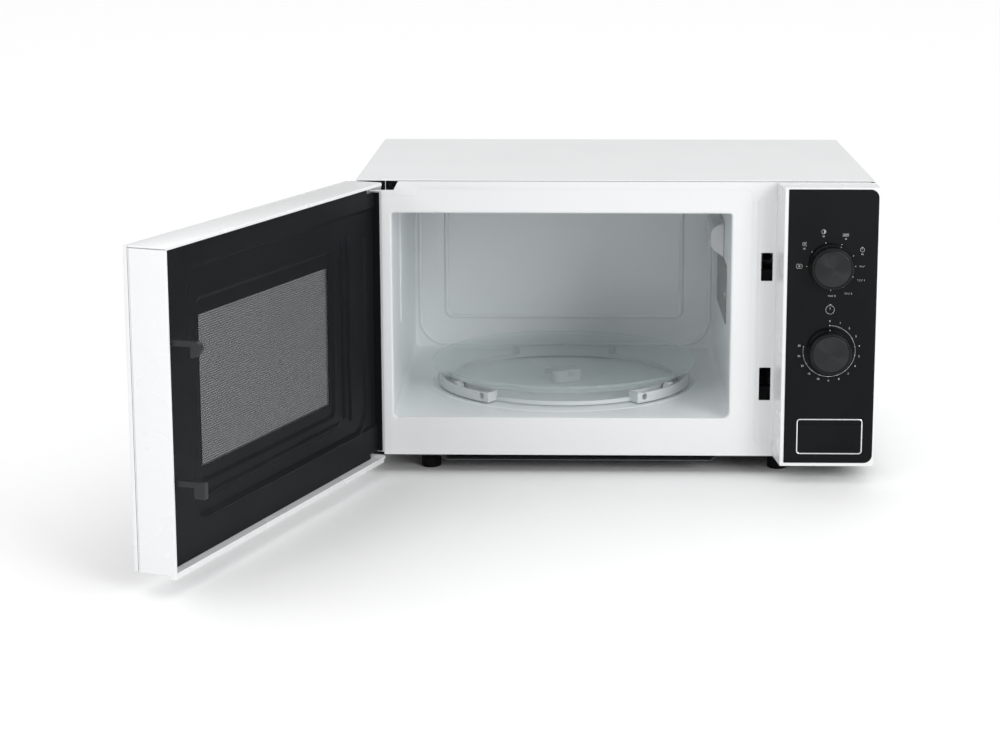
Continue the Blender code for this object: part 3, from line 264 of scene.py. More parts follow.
def clear(made, least, most):
    """Lets light straight through a thin pane or dish, least where it is seen edge on."""
    tree = made.node_tree
    edge = add_node(made, "LayerWeight", Blend=0.35)
    spread = add_node(made, "MapRange", To_Min=least, To_Max=most)
    tree.links.new(edge.outputs["Facing"], spread.inputs["Value"])
    tree.links.new(spread.outputs["Result"], tree.nodes["Principled BSDF"].inputs["Alpha"])
    return made


def spun_metal(name, colour, roughness):
    """Dark metal turned on a lathe: fine rings round the piece's own axis and a stretched glint."""
    made = finish(name, colour, roughness, 1.0, grain=2600, bump=0.04, variation=0.1, Anisotropic=0.9)
    turn, tree = add_node(made, "Tangent"), made.node_tree
    turn.direction_type, turn.axis = "RADIAL", "Y"
    tree.links.new(turn.outputs["Tangent"], tree.nodes["Principled BSDF"].inputs["Tangent"])
    return made


KNOB_FACE = spun_metal("spun_black_metal", (0.034, 0.035, 0.037), 0.22)
CLEAR_GLASS = clear(finish("turntable_glass", (0.66, 0.78, 0.76), 0.04, grain=60, bump=0.004, variation=0.03,
                           rough_spread=0.03), 0.08, 0.40)
SMOKED_GLASS = clear(finish("smoked_door_glass", (0.010, 0.011, 0.012), 0.05, grain=90, bump=0.004,
                            variation=0.1, rough_spread=0.03), 0.20, 0.38)
FILM = clear(finish("clear_window_film", (0.80, 0.82, 0.83), 0.10, grain=160, bump=0.01, variation=0.02,
                    rough_spread=0.05, Specular_IOR_Level=0.1), 0.02, 0.05)


# ---- outlines -----------------------------------------------------------------------------------
def arc(centre, radius, start_deg, end_deg, steps):
    angles = [math.radians(start_deg + (end_deg - start_deg) * k / steps) for k in range(steps + 1)]
    return [(centre[0] + radius * math.cos(a), centre[1] + radius * math.sin(a)) for a in angles]


def circle(centre, radius, steps=32):
    return arc(centre, radius, 0, 360, steps)[:-1]


class Rect:
    """A rectangle with rounded corners: low-low, high-low, high-high and low-high."""

    def __init__(self, x, y, radius, steps=6):
        self.x, self.y, self.steps = x, y, steps
        self.radii = [radius] * 4 if isinstance(radius, (int, float)) else list(radius)

    def points(self, inset=0.0):
        least = 0.00005
        left, right = self.x[0] + inset, self.x[1] - inset
        low, high = self.y[0] + inset, self.y[1] - inset
        outline = []
        for k, radius in enumerate(self.radii):
            r = max(radius - inset, least)
            centre = ((left + r, right - r, right - r, left + r)[k],
                      (low + r, low + r, high - r, high - r)[k])
            outline += arc(centre, r, 180 + 90 * k, 270 + 90 * k, self.steps)
        return outline


def front_rect(low, high, radius, steps=6, grow=0.0):
    """The rounded outline of a node seen from the front."""
    return Rect((low.x - grow, high.x + grow), (low.z - grow, high.z + grow), radius, steps)


def turned_place(spot, angle, axis):
    """A move to a spot after a turn about an axis."""
    return Matrix.Translation(spot) @ Matrix.Rotation(angle, 4, axis)


def placed(point, height, axis):
    order = {"X": (height, point[0], point[1]), "Y": (point[0], height, point[1]),
             "Z": (point[0], point[1], height)}
    return Vector(order[axis])


def stack(rect, axis, section):
    """The loops of a rectangle at each (inset, height) of a section."""
    return [[placed(point, height, axis) for point in rect.points(inset)] for inset, height in section]


# ---- solids -------------------------------------------------------------------------------------
def loft(loops, ring=False):
    """Skins loops that have the same number of points; ring joins the last loop to the first."""
    mesh = bmesh.new()
    rows = [[mesh.verts.new(point) for point in loop] for loop in loops]
    following = rows[1:] + rows[:1] if ring else rows[1:]
    for upper, lower in zip(rows, following):
        for k in range(len(upper)):
            n = (k + 1) % len(upper)
            mesh.faces.new((upper[k], upper[n], lower[n], lower[k]))
    if not ring:
        mesh.faces.new(rows[0])
        mesh.faces.new(rows[-1])
    bmesh.ops.recalc_face_normals(mesh, faces=mesh.faces)
    return mesh


def slab(rect, axis, low, high, edge, steps=3):
    """A plate with its rim rounded at both faces."""
    turns = [math.pi / 2 * k / steps for k in range(steps + 1)]
    profile = [(edge * (1 - math.sin(t)), low + edge * (1 - math.cos(t))) for t in turns]
    profile += [(edge * (1 - math.cos(t)), high - edge * (1 - math.sin(t))) for t in turns]
    return loft(stack(rect, axis, profile))


def rim(rect, axis, profile):
    """A closed section, given as (inset, height) points, carried round a rectangle."""
    return loft(stack(rect, axis, profile), ring=True)


def prism(outline, axis, low, high, holes=()):
    """A flat outline with holes, drawn out along an axis."""
    mesh = bmesh.new()
    loops, edges = [], []
    for points in (outline, *holes):
        loop = [mesh.verts.new(placed(p, low, axis)) for p in points]
        loops.append(loop)
        edges += [mesh.edges.new(pair) for pair in zip(loop, loop[1:] + loop[:1])]
    bmesh.ops.triangle_fill(mesh, use_beauty=True, edges=edges)
    floor = list(mesh.faces)
    rise = placed((0, 0), high - low, axis)
    twin = {vert: mesh.verts.new(vert.co + rise) for vert in list(mesh.verts)}
    for face in floor:
        mesh.faces.new([twin[vert] for vert in reversed(face.verts)])
    for loop in loops:
        for a, b in zip(loop, loop[1:] + loop[:1]):
            mesh.faces.new((a, b, twin[b], twin[a]))
    bmesh.ops.recalc_face_normals(mesh, faces=mesh.faces)
    return mesh


def box(x, y, z):
    return prism([(x[0], y[0]), (x[1], y[0]), (x[1], y[1]), (x[0], y[1])], "Z", z[0], z[1])


def housing(outline, low, high):
    """An upright block over an outline, whose edges are still to be softened."""
    mesh = bmesh.new()
    loops = [[mesh.verts.new((x, y, z)) for x, y in outline] for z in (low, high)]
    mesh.faces.new(loops[0])
    mesh.faces.new(loops[1])
    for k in range(len(outline)):
        n = (k + 1) % len(outline)
        mesh.faces.new((loops[0][k], loops[0][n], loops[1][n], loops[1][k]))
    bmesh.ops.recalc_face_normals(mesh, faces=mesh.faces)
    return mesh


def turned(profile, steps=64, closed=False, place=None, ripple=None):
    """(radius, height) points turned about Z; ripple(row, k) may raise single points."""
    mesh = bmesh.new()
    rows = []
    for row, (radius, height) in enumerate(profile):
        if radius == 0:
            rows.append([mesh.verts.new((0, 0, height))] * steps)
            continue
        points = []
        for k in range(steps):
            turn = 2 * math.pi * k / steps
            lift = ripple(row, k) if ripple else 0.0
            points.append(mesh.verts.new((radius * math.cos(turn), radius * math.sin(turn), height + lift)))
        rows.append(points)
    following = rows[1:] + rows[:1] if closed else rows[1:]
    for upper, lower in zip(rows, following):
        for k in range(steps):
            corners = [upper[k], upper[(k + 1) % steps], lower[(k + 1) % steps], lower[k]]
            mesh.faces.new(list(dict.fromkeys(corners)))
    bmesh.ops.recalc_face_normals(mesh, faces=mesh.faces)
    if place is not None:
        mesh.transform(place)
    return mesh


def rod(start, end, radius, steps=24):
    along = Vector(end) - Vector(start)
    turn = along.to_track_quat("Z", "Y").to_matrix().to_4x4()
    profile = [(0, 0), (radius, 0), (radius, along.length), (0, along.length)]
    return turned(profile, steps, place=Matrix.Translation(start) @ turn)


def tube(points, radius, sides, beside):
    """A round bar along points, whose ring at point k is spanned by beside(k) and the upright."""
    up = Vector((0, 0, 1))
    turns = [2 * math.pi * n / sides for n in range(sides)]
    return loft([[point + radius * (beside(k) * math.cos(t) + up * math.sin(t)) for t in turns]
                 for k, point in enumerate(points)])


def merged(*meshes):
    """Several bmeshes as one, still separate shells."""
    whole = bmesh.new()
    for mesh in meshes:
        data = bpy.data.meshes.new("part")
        mesh.to_mesh(data)
        mesh.free()
        whole.from_mesh(data)
        bpy.data.meshes.remove(data)
    return whole


def ramp(value, low, high):
    """Smooth rise from 0 at low to 1 at high."""
    t = min(1.0, max(0.0, (value - low) / (high - low)))
    return t * t * (3 - 2 * t)


# ---- pieces -------------------------------------------------------------------------------------
def piece(name, mesh, material, body, replaces=(), place=CABINET, bevel=0.0, joined=(), cut=(),
          sharp=32):
    """A finished piece: booleans, softened edges, material, body and the nodes it stands for."""
    made = linked(name, mesh)
    tools = []
    for operation, meshes in (("UNION", joined), ("DIFFERENCE", cut)):
        for tool_mesh in meshes:
            tools.append(linked("tool", tool_mesh))
            step = made.modifiers.new(operation.lower(), "BOOLEAN")
            step.operation = operation
            step.object = tools[-1]
    if tools:
        bpy.context.view_layer.update()
        evaluated = made.evaluated_get(bpy.context.evaluated_depsgraph_get())
        result = bpy.data.meshes.new_from_object(evaluated)
        made.modifiers.clear()
        made.data = result
        for tool in tools:
            bpy.data.objects.remove(tool, do_unlink=True)
    made.data.transform(place)
    made.data.materials.clear()
    made.data.materials.append(material)
    made.data.shade_smooth()
    made.data.set_sharp_from_angle(angle=math.radians(sharp))
    if bevel:
        soft = made.modifiers.new("soft_edges", "BEVEL")
        soft.width = bevel
        soft.segments = 3
        soft.limit_method = "ANGLE"
        soft.angle_limit = math.radians(sharp)
        made.modifiers.new("even_shading", "WEIGHTED_NORMAL").keep_sharp = False
    if body:
        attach(made, body)
    if replaces:
        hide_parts(*([replaces] if isinstance(replaces, str) else replaces))
    return made


# ---- cabinet ------------------------------------------------------------------------------------
def make_outer_cover():
    low, high = span("outer_cover")
    sheet, bend, steps = 0.001, 0.0035, 8
    half, base, top = high.x, low.z, high.z
    outer = [(-half, base)] + arc((-half + bend, top - bend), bend, 180, 90, steps)
    outer += arc((half - bend, top - bend), bend, 90, 0, steps) + [(half, base)]
    inner = [(half - sheet, base)] + arc((half - bend, top - bend), bend - sheet, 0, 90, steps)
    inner += arc((-half + bend, top - bend), bend - sheet, 90, 180, steps) + [(-half + sheet, base)]
    slots = []
    pitch, width, length = 0.008, 0.003, 0.022
    first_y, first_z, column_step = 0.205, 0.120, 0.030
    for side, columns in ((half, 2), (-half, 1)):
        for column in range(columns):
            for row in range(8):
                y, z = first_y + column_step * column, first_z + pitch * row
                shape = Rect((y, y + length), (z, z + width), width * 0.49, 5)
                slots.append(prism(shape.points(), "X", side - 0.004, side + 0.004))
    piece("outer_cover_sheet", prism(outer + inner, "Y", 0, high.y), WHITE_STEEL, "cabinet",
          "outer_cover", bevel=0.0003, cut=[merged(*slots)])


def make_front_plate():
    low, high = span("front_plate")
    edge, base, top = high.x, low.z, high.z
    sheet, corner = 0.001, 0.004
    notch = Rect((-0.2235, -0.188), (0.2530, top), 0.001)
    outline = [(edge, base), (edge, top - corner), (edge - corner, top), (notch.x[1], top),
               (notch.x[1] - 0.004, notch.y[0]), (notch.x[0], notch.y[0]), (notch.x[0], top - corner),
               (-edge, top - corner), (-edge, base), (notch.x[0], base), (notch.x[0], 0.0235),
               (-0.203, 0.0235), (-0.203, base)]
    lip = 0.0032
    mouth = Rect((-0.194, 0.1014), (0.0504, 0.2326), (0.004, 0.006, 0.002, 0.002), 8)
    slots = [Rect((0.1276, 0.1376), z, 0.0006, 3).points() for z in ((0.067, 0.0964), (0.1737, 0.1985))]
    behind_panel = Rect((0.152, 0.215), (0.030, 0.245), 0.004).points()
    plate = prism(outline, "Y", 0, sheet, [mouth.points(-lip), *slots, behind_panel])
    # the mouth's edge rolls back into the cavity; its section runs from the face round to behind it
    roll = [(-lip - 0.0003, sheet), (-lip - 0.0003, 0)]
    quarter = [math.pi / 2 * k / 8 for k in range(9)]
    roll += [(-lip + lip * math.sin(t), lip * 0.8 * (1 - math.cos(t))) for t in quarter]
    roll += [(0, 0.0034), (-0.0007, 0.0034)]
    roll += [(-lip + (lip - 0.0007) * math.sin(t), sheet + (lip * 0.8 - 0.0007) * (1 - math.cos(t)))
             for t in reversed(quarter[1:])]
    channel = Rect((0.1243, 0.1396), (0.026, 0.2475), 0.004)
    recess = loft(stack(channel, "Y", ((-0.0012, -0.0006), (0.0, 0.0), (0.0010, 0.0005), (0.0014, 0.0006))))
    field = Rect((-0.2208, 0.1195), (0.0185, 0.2485), (0.002, 0.002, 0.005, 0.014))
    strip = Rect((-0.174, 0.1195), (0.2400, 0.2548), 0.005)
    step = ((-0.0010, -0.0005), (0.0, 0.0), (0.0008, 0.00035), (0.0012, 0.0004))
    pressed = [recess] + [loft(stack(shape, "Y", step)) for shape in (field, strip)]
    piece("front_plate_pressing", plate, WHITE_STEEL, "cabinet", "front_plate", bevel=0.00018,
          joined=[rim(mouth, "Y", roll)], cut=pressed)


def make_rear_panel():
    low, high = span("rear_panel")
    fan = joint_place("fan_spin")
    inlet = (span("cord_inlet")[0] + span("cord_inlet")[1]) / 2
    outline = front_rect(low, high, 0.004).points()
    holes = [circle((inlet.x, inlet.z), 0.0085)]
    for k in (1, 2, 3):
        a, b = span(f"cover_screw_{k}")
        holes.append(circle(((a.x + b.x) / 2, (a.z + b.z) / 2), 0.0018, 16))
    width, height, pitch = 0.030, 0.0035, 0.008
    for column in (0, 1):
        for row in range(9):
            x, z = fan.x - 0.034 + 0.036 * column, fan.z - 0.034 + pitch * row
            holes.append(Rect((x, x + width), (z, z + height), height * 0.49, 4).points())
    field = Rect((low.x + 0.020, high.x - 0.110), (low.z + 0.025, high.z - 0.020), 0.012)
    pressed = loft(stack(field, "Y", ((-0.0010, high.y + 0.0006), (0.0, high.y), (0.0010, high.y - 0.0005))))
    piece("rear_panel_sheet", prism(outline, "Y", low.y, high.y, holes), ZINC, "cabinet",
          "rear_panel", bevel=0.0002, cut=[pressed])


def make_base_plate():
    low, high = span("base_plate")
    top, sheet, drop = high.z, 0.001, 0.0042
    left, right, slope = -0.153, 0.091, 0.005
    upper = [(low.x, top), (left, top), (left + slope, top - drop), (right - slope, top - drop),
             (right, top), (high.x, top)]
    lower = [(x, z - sheet) for x, z in reversed(upper)]
    vents = []
    for k in range(6):
        x = 0.120 + 0.012 * k
        vents.append(prism(Rect((x, x + 0.004), (0.120, 0.160), 0.0019, 4).points(), "Z", 0.008, 0.020))
    piece("base_pan", prism(upper + lower, "Y", low.y, high.y), DARK_STEEL, "cabinet",
          "base_plate", bevel=0.0003, cut=[merged(*vents)])


def make_feet():
    for name in ("foot_front_left", "foot_front_right", "foot_rear_left", "foot_rear_right"):
        low, high = span(name)
        middle, radius, top = (low + high) / 2, (high.x - low.x) / 2, high.z
        profile = [(0, 0.0006), (radius - 0.0038, 0.0006), (radius - 0.0034, 0), (radius - 0.0012, 0)]
        profile += [(radius - 0.0012 + 0.0012 * math.sin(t), 0.0012 * (1 - math.cos(t)))
                    for t in (0.4, 0.8, 1.2, 1.57)]
        profile += [(radius, top - 0.0050), (radius - 0.0006, top - 0.0042), (radius, top - 0.0034),
                    (radius, top - 0.0023), (radius - 0.0010, top - 0.0008), (radius - 0.0018, top), (0, top)]
        place = CABINET @ Matrix.Translation((middle.x, middle.y, 0))
        piece(f"{name}_rubber", turned(profile, 48), RUBBER, "cabinet", name, place)


def make_cavity():
    low, high = span("cavity_shell")
    reach, sheet = 0.005, 0.0008
    back = high.y - sheet
    front = low.y
    inside = Rect((low.x + reach, high.x - reach), (low.z + reach, high.z - reach),
                  (0.008, 0.008, 0.012, 0.012), 8)
    section = [(-sheet + 0.002, back + sheet), (-sheet, back + sheet - 0.002), (-sheet, front + sheet),
               (-reach, front + sheet), (-reach, front), (-0.0010, front), (-0.0002, front + 0.0004),
               (0, front + 0.0014)]
    fillet = 0.0026
    turns = [math.pi / 2 * k / 5 for k in range(6)]
    section += [(fillet * (1 - math.cos(t)), back - fillet * (1 - math.sin(t))) for t in turns]
    loops = stack(inside, "Y", section)
    ceiling = inside.y[1]
    edge = Rect((inside.x[0] + 0.0052, inside.x[1] - 0.0046), (inside.y[0] + 0.0042, ceiling - 0.0050),
                (0.027, 0.027, 0.004, 0.004), 8)
    field = Rect((inside.x[0] + 0.032, inside.x[1] - 0.033), (inside.y[0] + 0.033, ceiling - 0.0085),
                 (0.007, 0.007, 0.003, 0.003), 8)
    turns = [math.pi * k / 8 for k in range(9)]
    for rect, half, rise in ((edge, 0.0018, 0.0016), (field, 0.0022, 0.0021)):
        loops += stack(rect, "Y", [(-half * math.cos(t), back - rise * math.sin(t)) for t in turns])
    shell = loft(loops)
    wall = inside.x[0]
    pad = Rect((0.108, 0.214), (0.112, 0.240), 0.007)
    raised = loft(stack(pad, "X", [(inset, wall + rise) for inset, rise in (
        (-0.0004, -0.0004), (0.0, 0.0), (0.0006, 0.0005), (0.0016, 0.0010), (0.0028, 0.0012))]))
    table = joint_place("turntable_spin")
    floor = inside.y[0]
    bead = ((0.1215, -0.0004), (0.1222, 0.0001), (0.1232, 0.0005), (0.1248, 0.0005), (0.1258, 0.0001),
            (0.1265, -0.0004))
    track = [(radius, floor + rise) for radius, rise in bead]
    shaft_hole = 0.008
    place = Matrix.Translation((table.x, table.y, 0))
    hole = rod((table.x, table.y, floor - 0.004), (table.x, table.y, floor + 0.004), shaft_hole, 40)
    piece("cavity_liner", shell, CAVITY_PAINT, "cabinet", "cavity_shell",
          joined=[raised, turned(track, 128, closed=True, place=place)], cut=[hole])


def make_cavity_fittings():
    low, high = span("waveguide_cover")
    sheet = slab(Rect((low.y, high.y), (low.z, high.z), 0.002), "X", low.x, high.x, 0.0001)
    piece("mica_cover", sheet, MICA, "cabinet", "waveguide_cover")
    rivets = []
    for y in (low.y + 0.006, high.y - 0.006):
        z = (low.z + high.z) / 2
        turn = turned_place((low.x, y, z), -math.pi / 2, "Y")
        rivets.append(turned([(0, 0.0010), (0.0012, 0.0009), (0.0022, 0.0004), (0.0024, 0), (0, 0)], 24,
                             place=turn))
    piece("mica_rivets", merged(*rivets), PALE_PLASTIC, "cabinet")

    low, high = span("lamp_hood")
    wall, face = high.x, low.x
    bump = [(wall, low.z), (face + 0.003, low.z + 0.0065), (face + 0.0006, low.z + 0.0095),
            (face, low.z + 0.0125), (face, high.z - 0.0100), (face + 0.0006, high.z - 0.0070),
            (face + 0.003, high.z - 0.0035), (wall, high.z)]
    piece("lamp_hood_shell", prism(bump, "Y", low.y, high.y), WHITE_PLASTIC, "cabinet",
          "lamp_hood", bevel=0.0012)

    low, high = span("grill_element")
    radius = (high.z - low.z) / 2
    bend = (high.y - low.y - 2 * radius) / 6
    first, height = low.y + radius, (low.z + high.z) / 2
    left = low.x + radius + bend
    right = 0.030
    route = [(high.x, first)] + arc((left, first + bend), bend, -90, -270, 20)
    route += arc((right, first + 3 * bend), bend, -90, 90, 20)
    route += arc((left, first + 5 * bend), bend, -90, -270, 20) + [(high.x, first + 6 * bend)]

    def beside(k):
        before, after = route[max(k - 1, 0)], route[min(k + 1, len(route) - 1)]
        along = Vector((after[0] - before[0], after[1] - before[1], 0)).normalized()
        return Vector((-along.y, along.x, 0))

    points = [Vector((x, y, height)) for x, y in route]
    piece("grill_tube", tube(points, radius, 20, beside), ELEMENT, "cabinet",
          "grill_element", sharp=50)


# ---- turntable ----------------------------------------------------------------------------------
def make_turntable():
    axis = joint_place("turntable_spin")
    place = CABINET @ Matrix.Translation((axis.x, axis.y, 0))
    low, high = span("turntable_coupler")
    outline = []
    for k in range(96):
        turn = 2 * math.pi * k / 96
        reach = 0.013 + 0.003 * math.cos(3 * turn)
        outline.append((reach * math.cos(turn), reach * math.sin(turn)))
    piece("drive_coupler", prism(outline, "Z", low.z, high.z), PALE_PLASTIC, "turntable_drive",
          "turntable_coupler", place, bevel=0.0006)

    low, high = span("glass_turntable")
    radius, base = (high.x - low.x) / 2, high.z - 0.010
    bead = 0.0016
    profile = [(0, base), (0.060, base), (0.0815, base), (0.0830, base + 0.0002), (0.0845, base),
               (0.1015, base), (0.1035, base + 0.0001), (0.1080, base + 0.0004), (0.1120, base + 0.0011),
               (0.1160, base + 0.0023), (0.1200, base + 0.0043), (0.1228, base + 0.0064)]
    profile += [(radius - bead + bead * math.cos(t), base + 0.0084 + bead * math.sin(t))
                for t in (-0.6, -0.2, 0.2, 0.6, 1.0, 1.4, 1.8, 2.2, 2.6)]
    profile += [(0.1200, base + 0.0078), (0.1170, base + 0.0066), (0.1130, base + 0.0053),
                (0.1090, base + 0.0045), (0.1050, base + 0.0041), (0.1010, base + 0.0040),
                (0.0990, base + 0.0040), (0.0970, base + 0.0040), (0.0950, base + 0.0040),
                (0.0900, base + 0.0040), (0.0885, base + 0.0037), (0.0870, base + 0.0036),
                (0.0, base + 0.0036)]
    serrated = len(profile) - 7

    def ribs(row, k):
        return 0.00035 if row in (serrated, serrated + 1) and k % 2 else 0.0

    lugs = []
    for k in range(3):
        lug = box((0.0118, 0.0180), (-0.0022, 0.0022), (low.z, base + 0.0010))
        lug.transform(Matrix.Rotation(math.radians(60 + 120 * k), 4, "Z"))
        lugs.append(lug)
    piece("turntable_dish", turned(profile, 240, ripple=ribs), CLEAR_GLASS, "turntable_plate",
          "glass_turntable", place, joined=lugs, sharp=50)


def make_roller_ring():
    axis = joint_place("turntable_spin")
    place = CABINET @ Matrix.Translation((axis.x, axis.y, 0))
    low, high = span("roller_ring")
    base, top = low.z, high.z
    reach, wall = 0.1185, 0.0018
    band = turned([(0.1045, base), (0.1065, base), (0.1065, top), (0.1045, top)], 160, closed=True)
    joined, cut = [], []
    wheels = [span(f"roller_{k}") for k in (1, 2, 3)]
    for a, b in wheels:
        middle = (a + b) / 2 - axis
        turn = math.atan2(middle.y, middle.x)
        centre = math.degrees(turn)
        outline = arc((0, 0), reach, centre - 25, centre + 25, 40)
        outline += arc((0, 0), reach - wall, centre + 25, centre - 25, 40)
        joined.append(prism(outline, "Z", base, top - 0.0004))
        outline = arc((0, 0), reach - 0.001, centre - 24, centre + 24, 40)
        outline += arc((0, 0), 0.1057, centre + 24, centre - 24, 40)
        joined.append(prism(outline, "Z", base + 0.0006, base + 0.0022))
        for side in (-1, 1):
            swing = Matrix.Rotation(turn + side * math.radians(24.2), 4, "Z")
            for part in (box((0.1055, reach - 0.001), (-0.0017, 0.0017), (base, top - 0.0004)),
                         box((reach - 0.0022, reach + 0.0004), (-0.0024, 0.0024), (base, top))):
                part.transform(swing)
                joined.append(part)
            swing = Matrix.Rotation(turn + side * math.radians(21.3), 4, "Z")
            window = prism(Rect((-0.0026, 0.0026), (base + 0.0024, top - 0.0014), 0.0014, 4).points(), "X",
                           reach - 0.004, reach + 0.002)
            window.transform(swing)
            cut.append(window)
        sector = arc((0, 0), 0.1100, centre + 25, centre + 95, 24)
        sector += arc((0, 0), 0.1000, centre + 95, centre + 25, 24)
        cut.append(prism(sector, "Z", base + 0.0036, top + 0.001))
        pocket = box((0.1070, 0.1163), (-0.0078, 0.0078), (base - 0.001, base + 0.004))
        pocket.transform(Matrix.Rotation(turn, 4, "Z"))
        cut.append(pocket)
        axle = rod((0.1055, 0, (a.z + b.z) / 2), (0.1175, 0, (a.z + b.z) / 2), 0.0012)
        axle.transform(Matrix.Rotation(turn, 4, "Z"))
        joined.append(axle)
    piece("roller_carrier", band, PALE_PLASTIC, "ring", "roller_ring", place, bevel=0.00025,
          joined=joined, cut=cut)
    for k, (a, b) in enumerate(wheels, 1):
        middle, radius = (a + b) / 2, (b.z - a.z) / 2
        turn = math.atan2(middle.y - axis.y, middle.x - axis.x)
        bore, half = 0.0016, 0.0034
        profile = [(bore, -half), (radius - 0.0020, -half), (radius - 0.0017, -half + 0.0006),
                   (radius - 0.0009, -half + 0.0006), (radius - 0.0006, -half),
                   (radius - 0.0003, -half + 0.0001), (radius, -half + 0.0006), (radius, half - 0.0006),
                   (radius - 0.0003, half - 0.0001), (radius - 0.0006, half), (bore, half)]
        spin = CABINET @ turned_place(middle, turn, "Z") @ Matrix.Rotation(math.pi / 2, 4, "Y")
        piece(f"roller_{k}_wheel", turned(profile, 48, closed=True), PALE_PLASTIC, f"wheel_{k}",
              f"roller_{k}", spin)


# ---- control panel ------------------------------------------------------------------------------
SELECTOR, TIMER = joint_place("selector_turn"), joint_place("timer_turn")
PANEL_FACE = span("panel_overlay")[0].y


def softened(mesh, width, segments):
    """Bevels the sharp edges of a bmesh before anything is cut out of it."""
    least = math.radians(30)
    edges = [edge for edge in mesh.edges if len(edge.link_faces) == 2 and edge.calc_face_angle() > least]
    bmesh.ops.bevel(mesh, geom=edges, offset=width, segments=segments, profile=0.5, affect="EDGES",
                    clamp_overlap=True)
    return mesh


def button_window(inset=0.0):
    low, high = span("button_frame")
    return front_rect(low, high, 0.003).points(inset)


def make_panel():
    low, high = span("control_panel")
    over_low, over_high = span("panel_overlay")
    base_left, left, wall, gap = low.x, over_low.x - 0.0035, 0.0022, 0.0003
    outline = [(base_left, high.y), (left, low.y), (high.x, low.y), (high.x, high.y)]
    mesh = softened(housing(outline, low.z, high.z), 0.0010, 4)
    hollow = [(base_left + wall, high.y + 0.001), (left + wall, low.y + 0.0032),
              (high.x - wall, low.y + 0.0032), (high.x - wall, high.y + 0.001)]
    recess = front_rect(over_low, over_high, (0.0008, 0.0073, 0.0073, 0.0008), grow=gap)
    cut = [prism(hollow, "Z", low.z + wall, high.z - wall),
           prism(recess.points(), "Y", low.y - 0.001, low.y + 0.0011),
           prism(button_window(-gap), "Y", low.y - 0.001, low.y + 0.010)]
    for spot in (SELECTOR, TIMER):
        cut.append(rod((spot.x, low.y - 0.001, spot.z), (spot.x, low.y + 0.010, spot.z), 0.006))
    piece("panel_housing", mesh, WHITE_PLASTIC, "cabinet", "control_panel", bevel=0.00012,
          cut=cut)
    face = front_rect(over_low, over_high, (0.0006, 0.007, 0.007, 0.0006), 8)
    holes = [button_window(-gap)] + [circle((spot.x, spot.z), 0.006) for spot in (SELECTOR, TIMER)]
    piece("panel_face", prism(face.points(), "Y", over_low.y, over_high.y, holes), GLOSS_BLACK, "cabinet",
          "panel_overlay", bevel=0.00015)


PRINT_LOW, PRINT_HIGH = PANEL_FACE - 0.00004, PANEL_FACE + 0.0001


def print_line(points, width=0.00022):
    """A thin printed band along some points; it closes up if they end where they start."""
    closed = math.dist(points[0], points[-1]) < 1e-6
    if closed:
        points = points[:-1]
    count = len(points)
    mesh = bmesh.new()
    rows = []
    for k, (x, z) in enumerate(points):
        before = points[k - 1] if k or closed else points[k]
        after = points[(k + 1) % count] if k + 1 < count or closed else points[k]
        along = Vector((after[0] - before[0], after[1] - before[1])).normalized()
        dx, dz = -along.y * width / 2, along.x * width / 2
        rows.append([mesh.verts.new((x + side * dx, y, z + side * dz))
                     for side, y in ((1, PRINT_LOW), (-1, PRINT_LOW), (-1, PRINT_HIGH), (1, PRINT_HIGH))])
    for k in range(count if closed else count - 1):
        here, there = rows[k], rows[(k + 1) % count]
        for n in range(4):
            mesh.faces.new((here[n], here[(n + 1) % 4], there[(n + 1) % 4], there[n]))
    if not closed:
        mesh.faces.new(rows[0])
        mesh.faces.new(rows[-1])
    bmesh.ops.recalc_face_normals(mesh, faces=mesh.faces)
    return [mesh]


def print_dot(centre, radius):
    return [prism(circle(centre, radius, 20), "Y", PRINT_LOW, PRINT_HIGH)]


def print_digits(text, centre, height):
    curve = bpy.data.curves.new("digits", "FONT")
    curve.body = text
    curve.size = height * 1.35
    curve.align_x = "CENTER"
    curve.align_y = "CENTER"
    curve.extrude = (PRINT_HIGH - PRINT_LOW) / 2
    curve.resolution_u = 3
    drawn = bpy.data.objects.new("digits", curve)
    bpy.context.collection.objects.link(drawn)
    bpy.context.view_layer.update()
    data = bpy.data.meshes.new_from_object(drawn.evaluated_get(bpy.context.evaluated_depsgraph_get()))
    bpy.data.objects.remove(drawn, do_unlink=True)
    mesh = bmesh.new()
    mesh.from_mesh(data)
    middle = (PRINT_LOW + PRINT_HIGH) / 2
    mesh.transform(turned_place((centre[0], middle, centre[1]), math.pi / 2, "X"))
    return [mesh]


def at(spot, radius, degrees):
    """A point round a dial, clockwise from its top."""
    turn = math.radians(degrees)
    return (spot.x + radius * math.sin(turn), spot.z + radius * math.cos(turn))


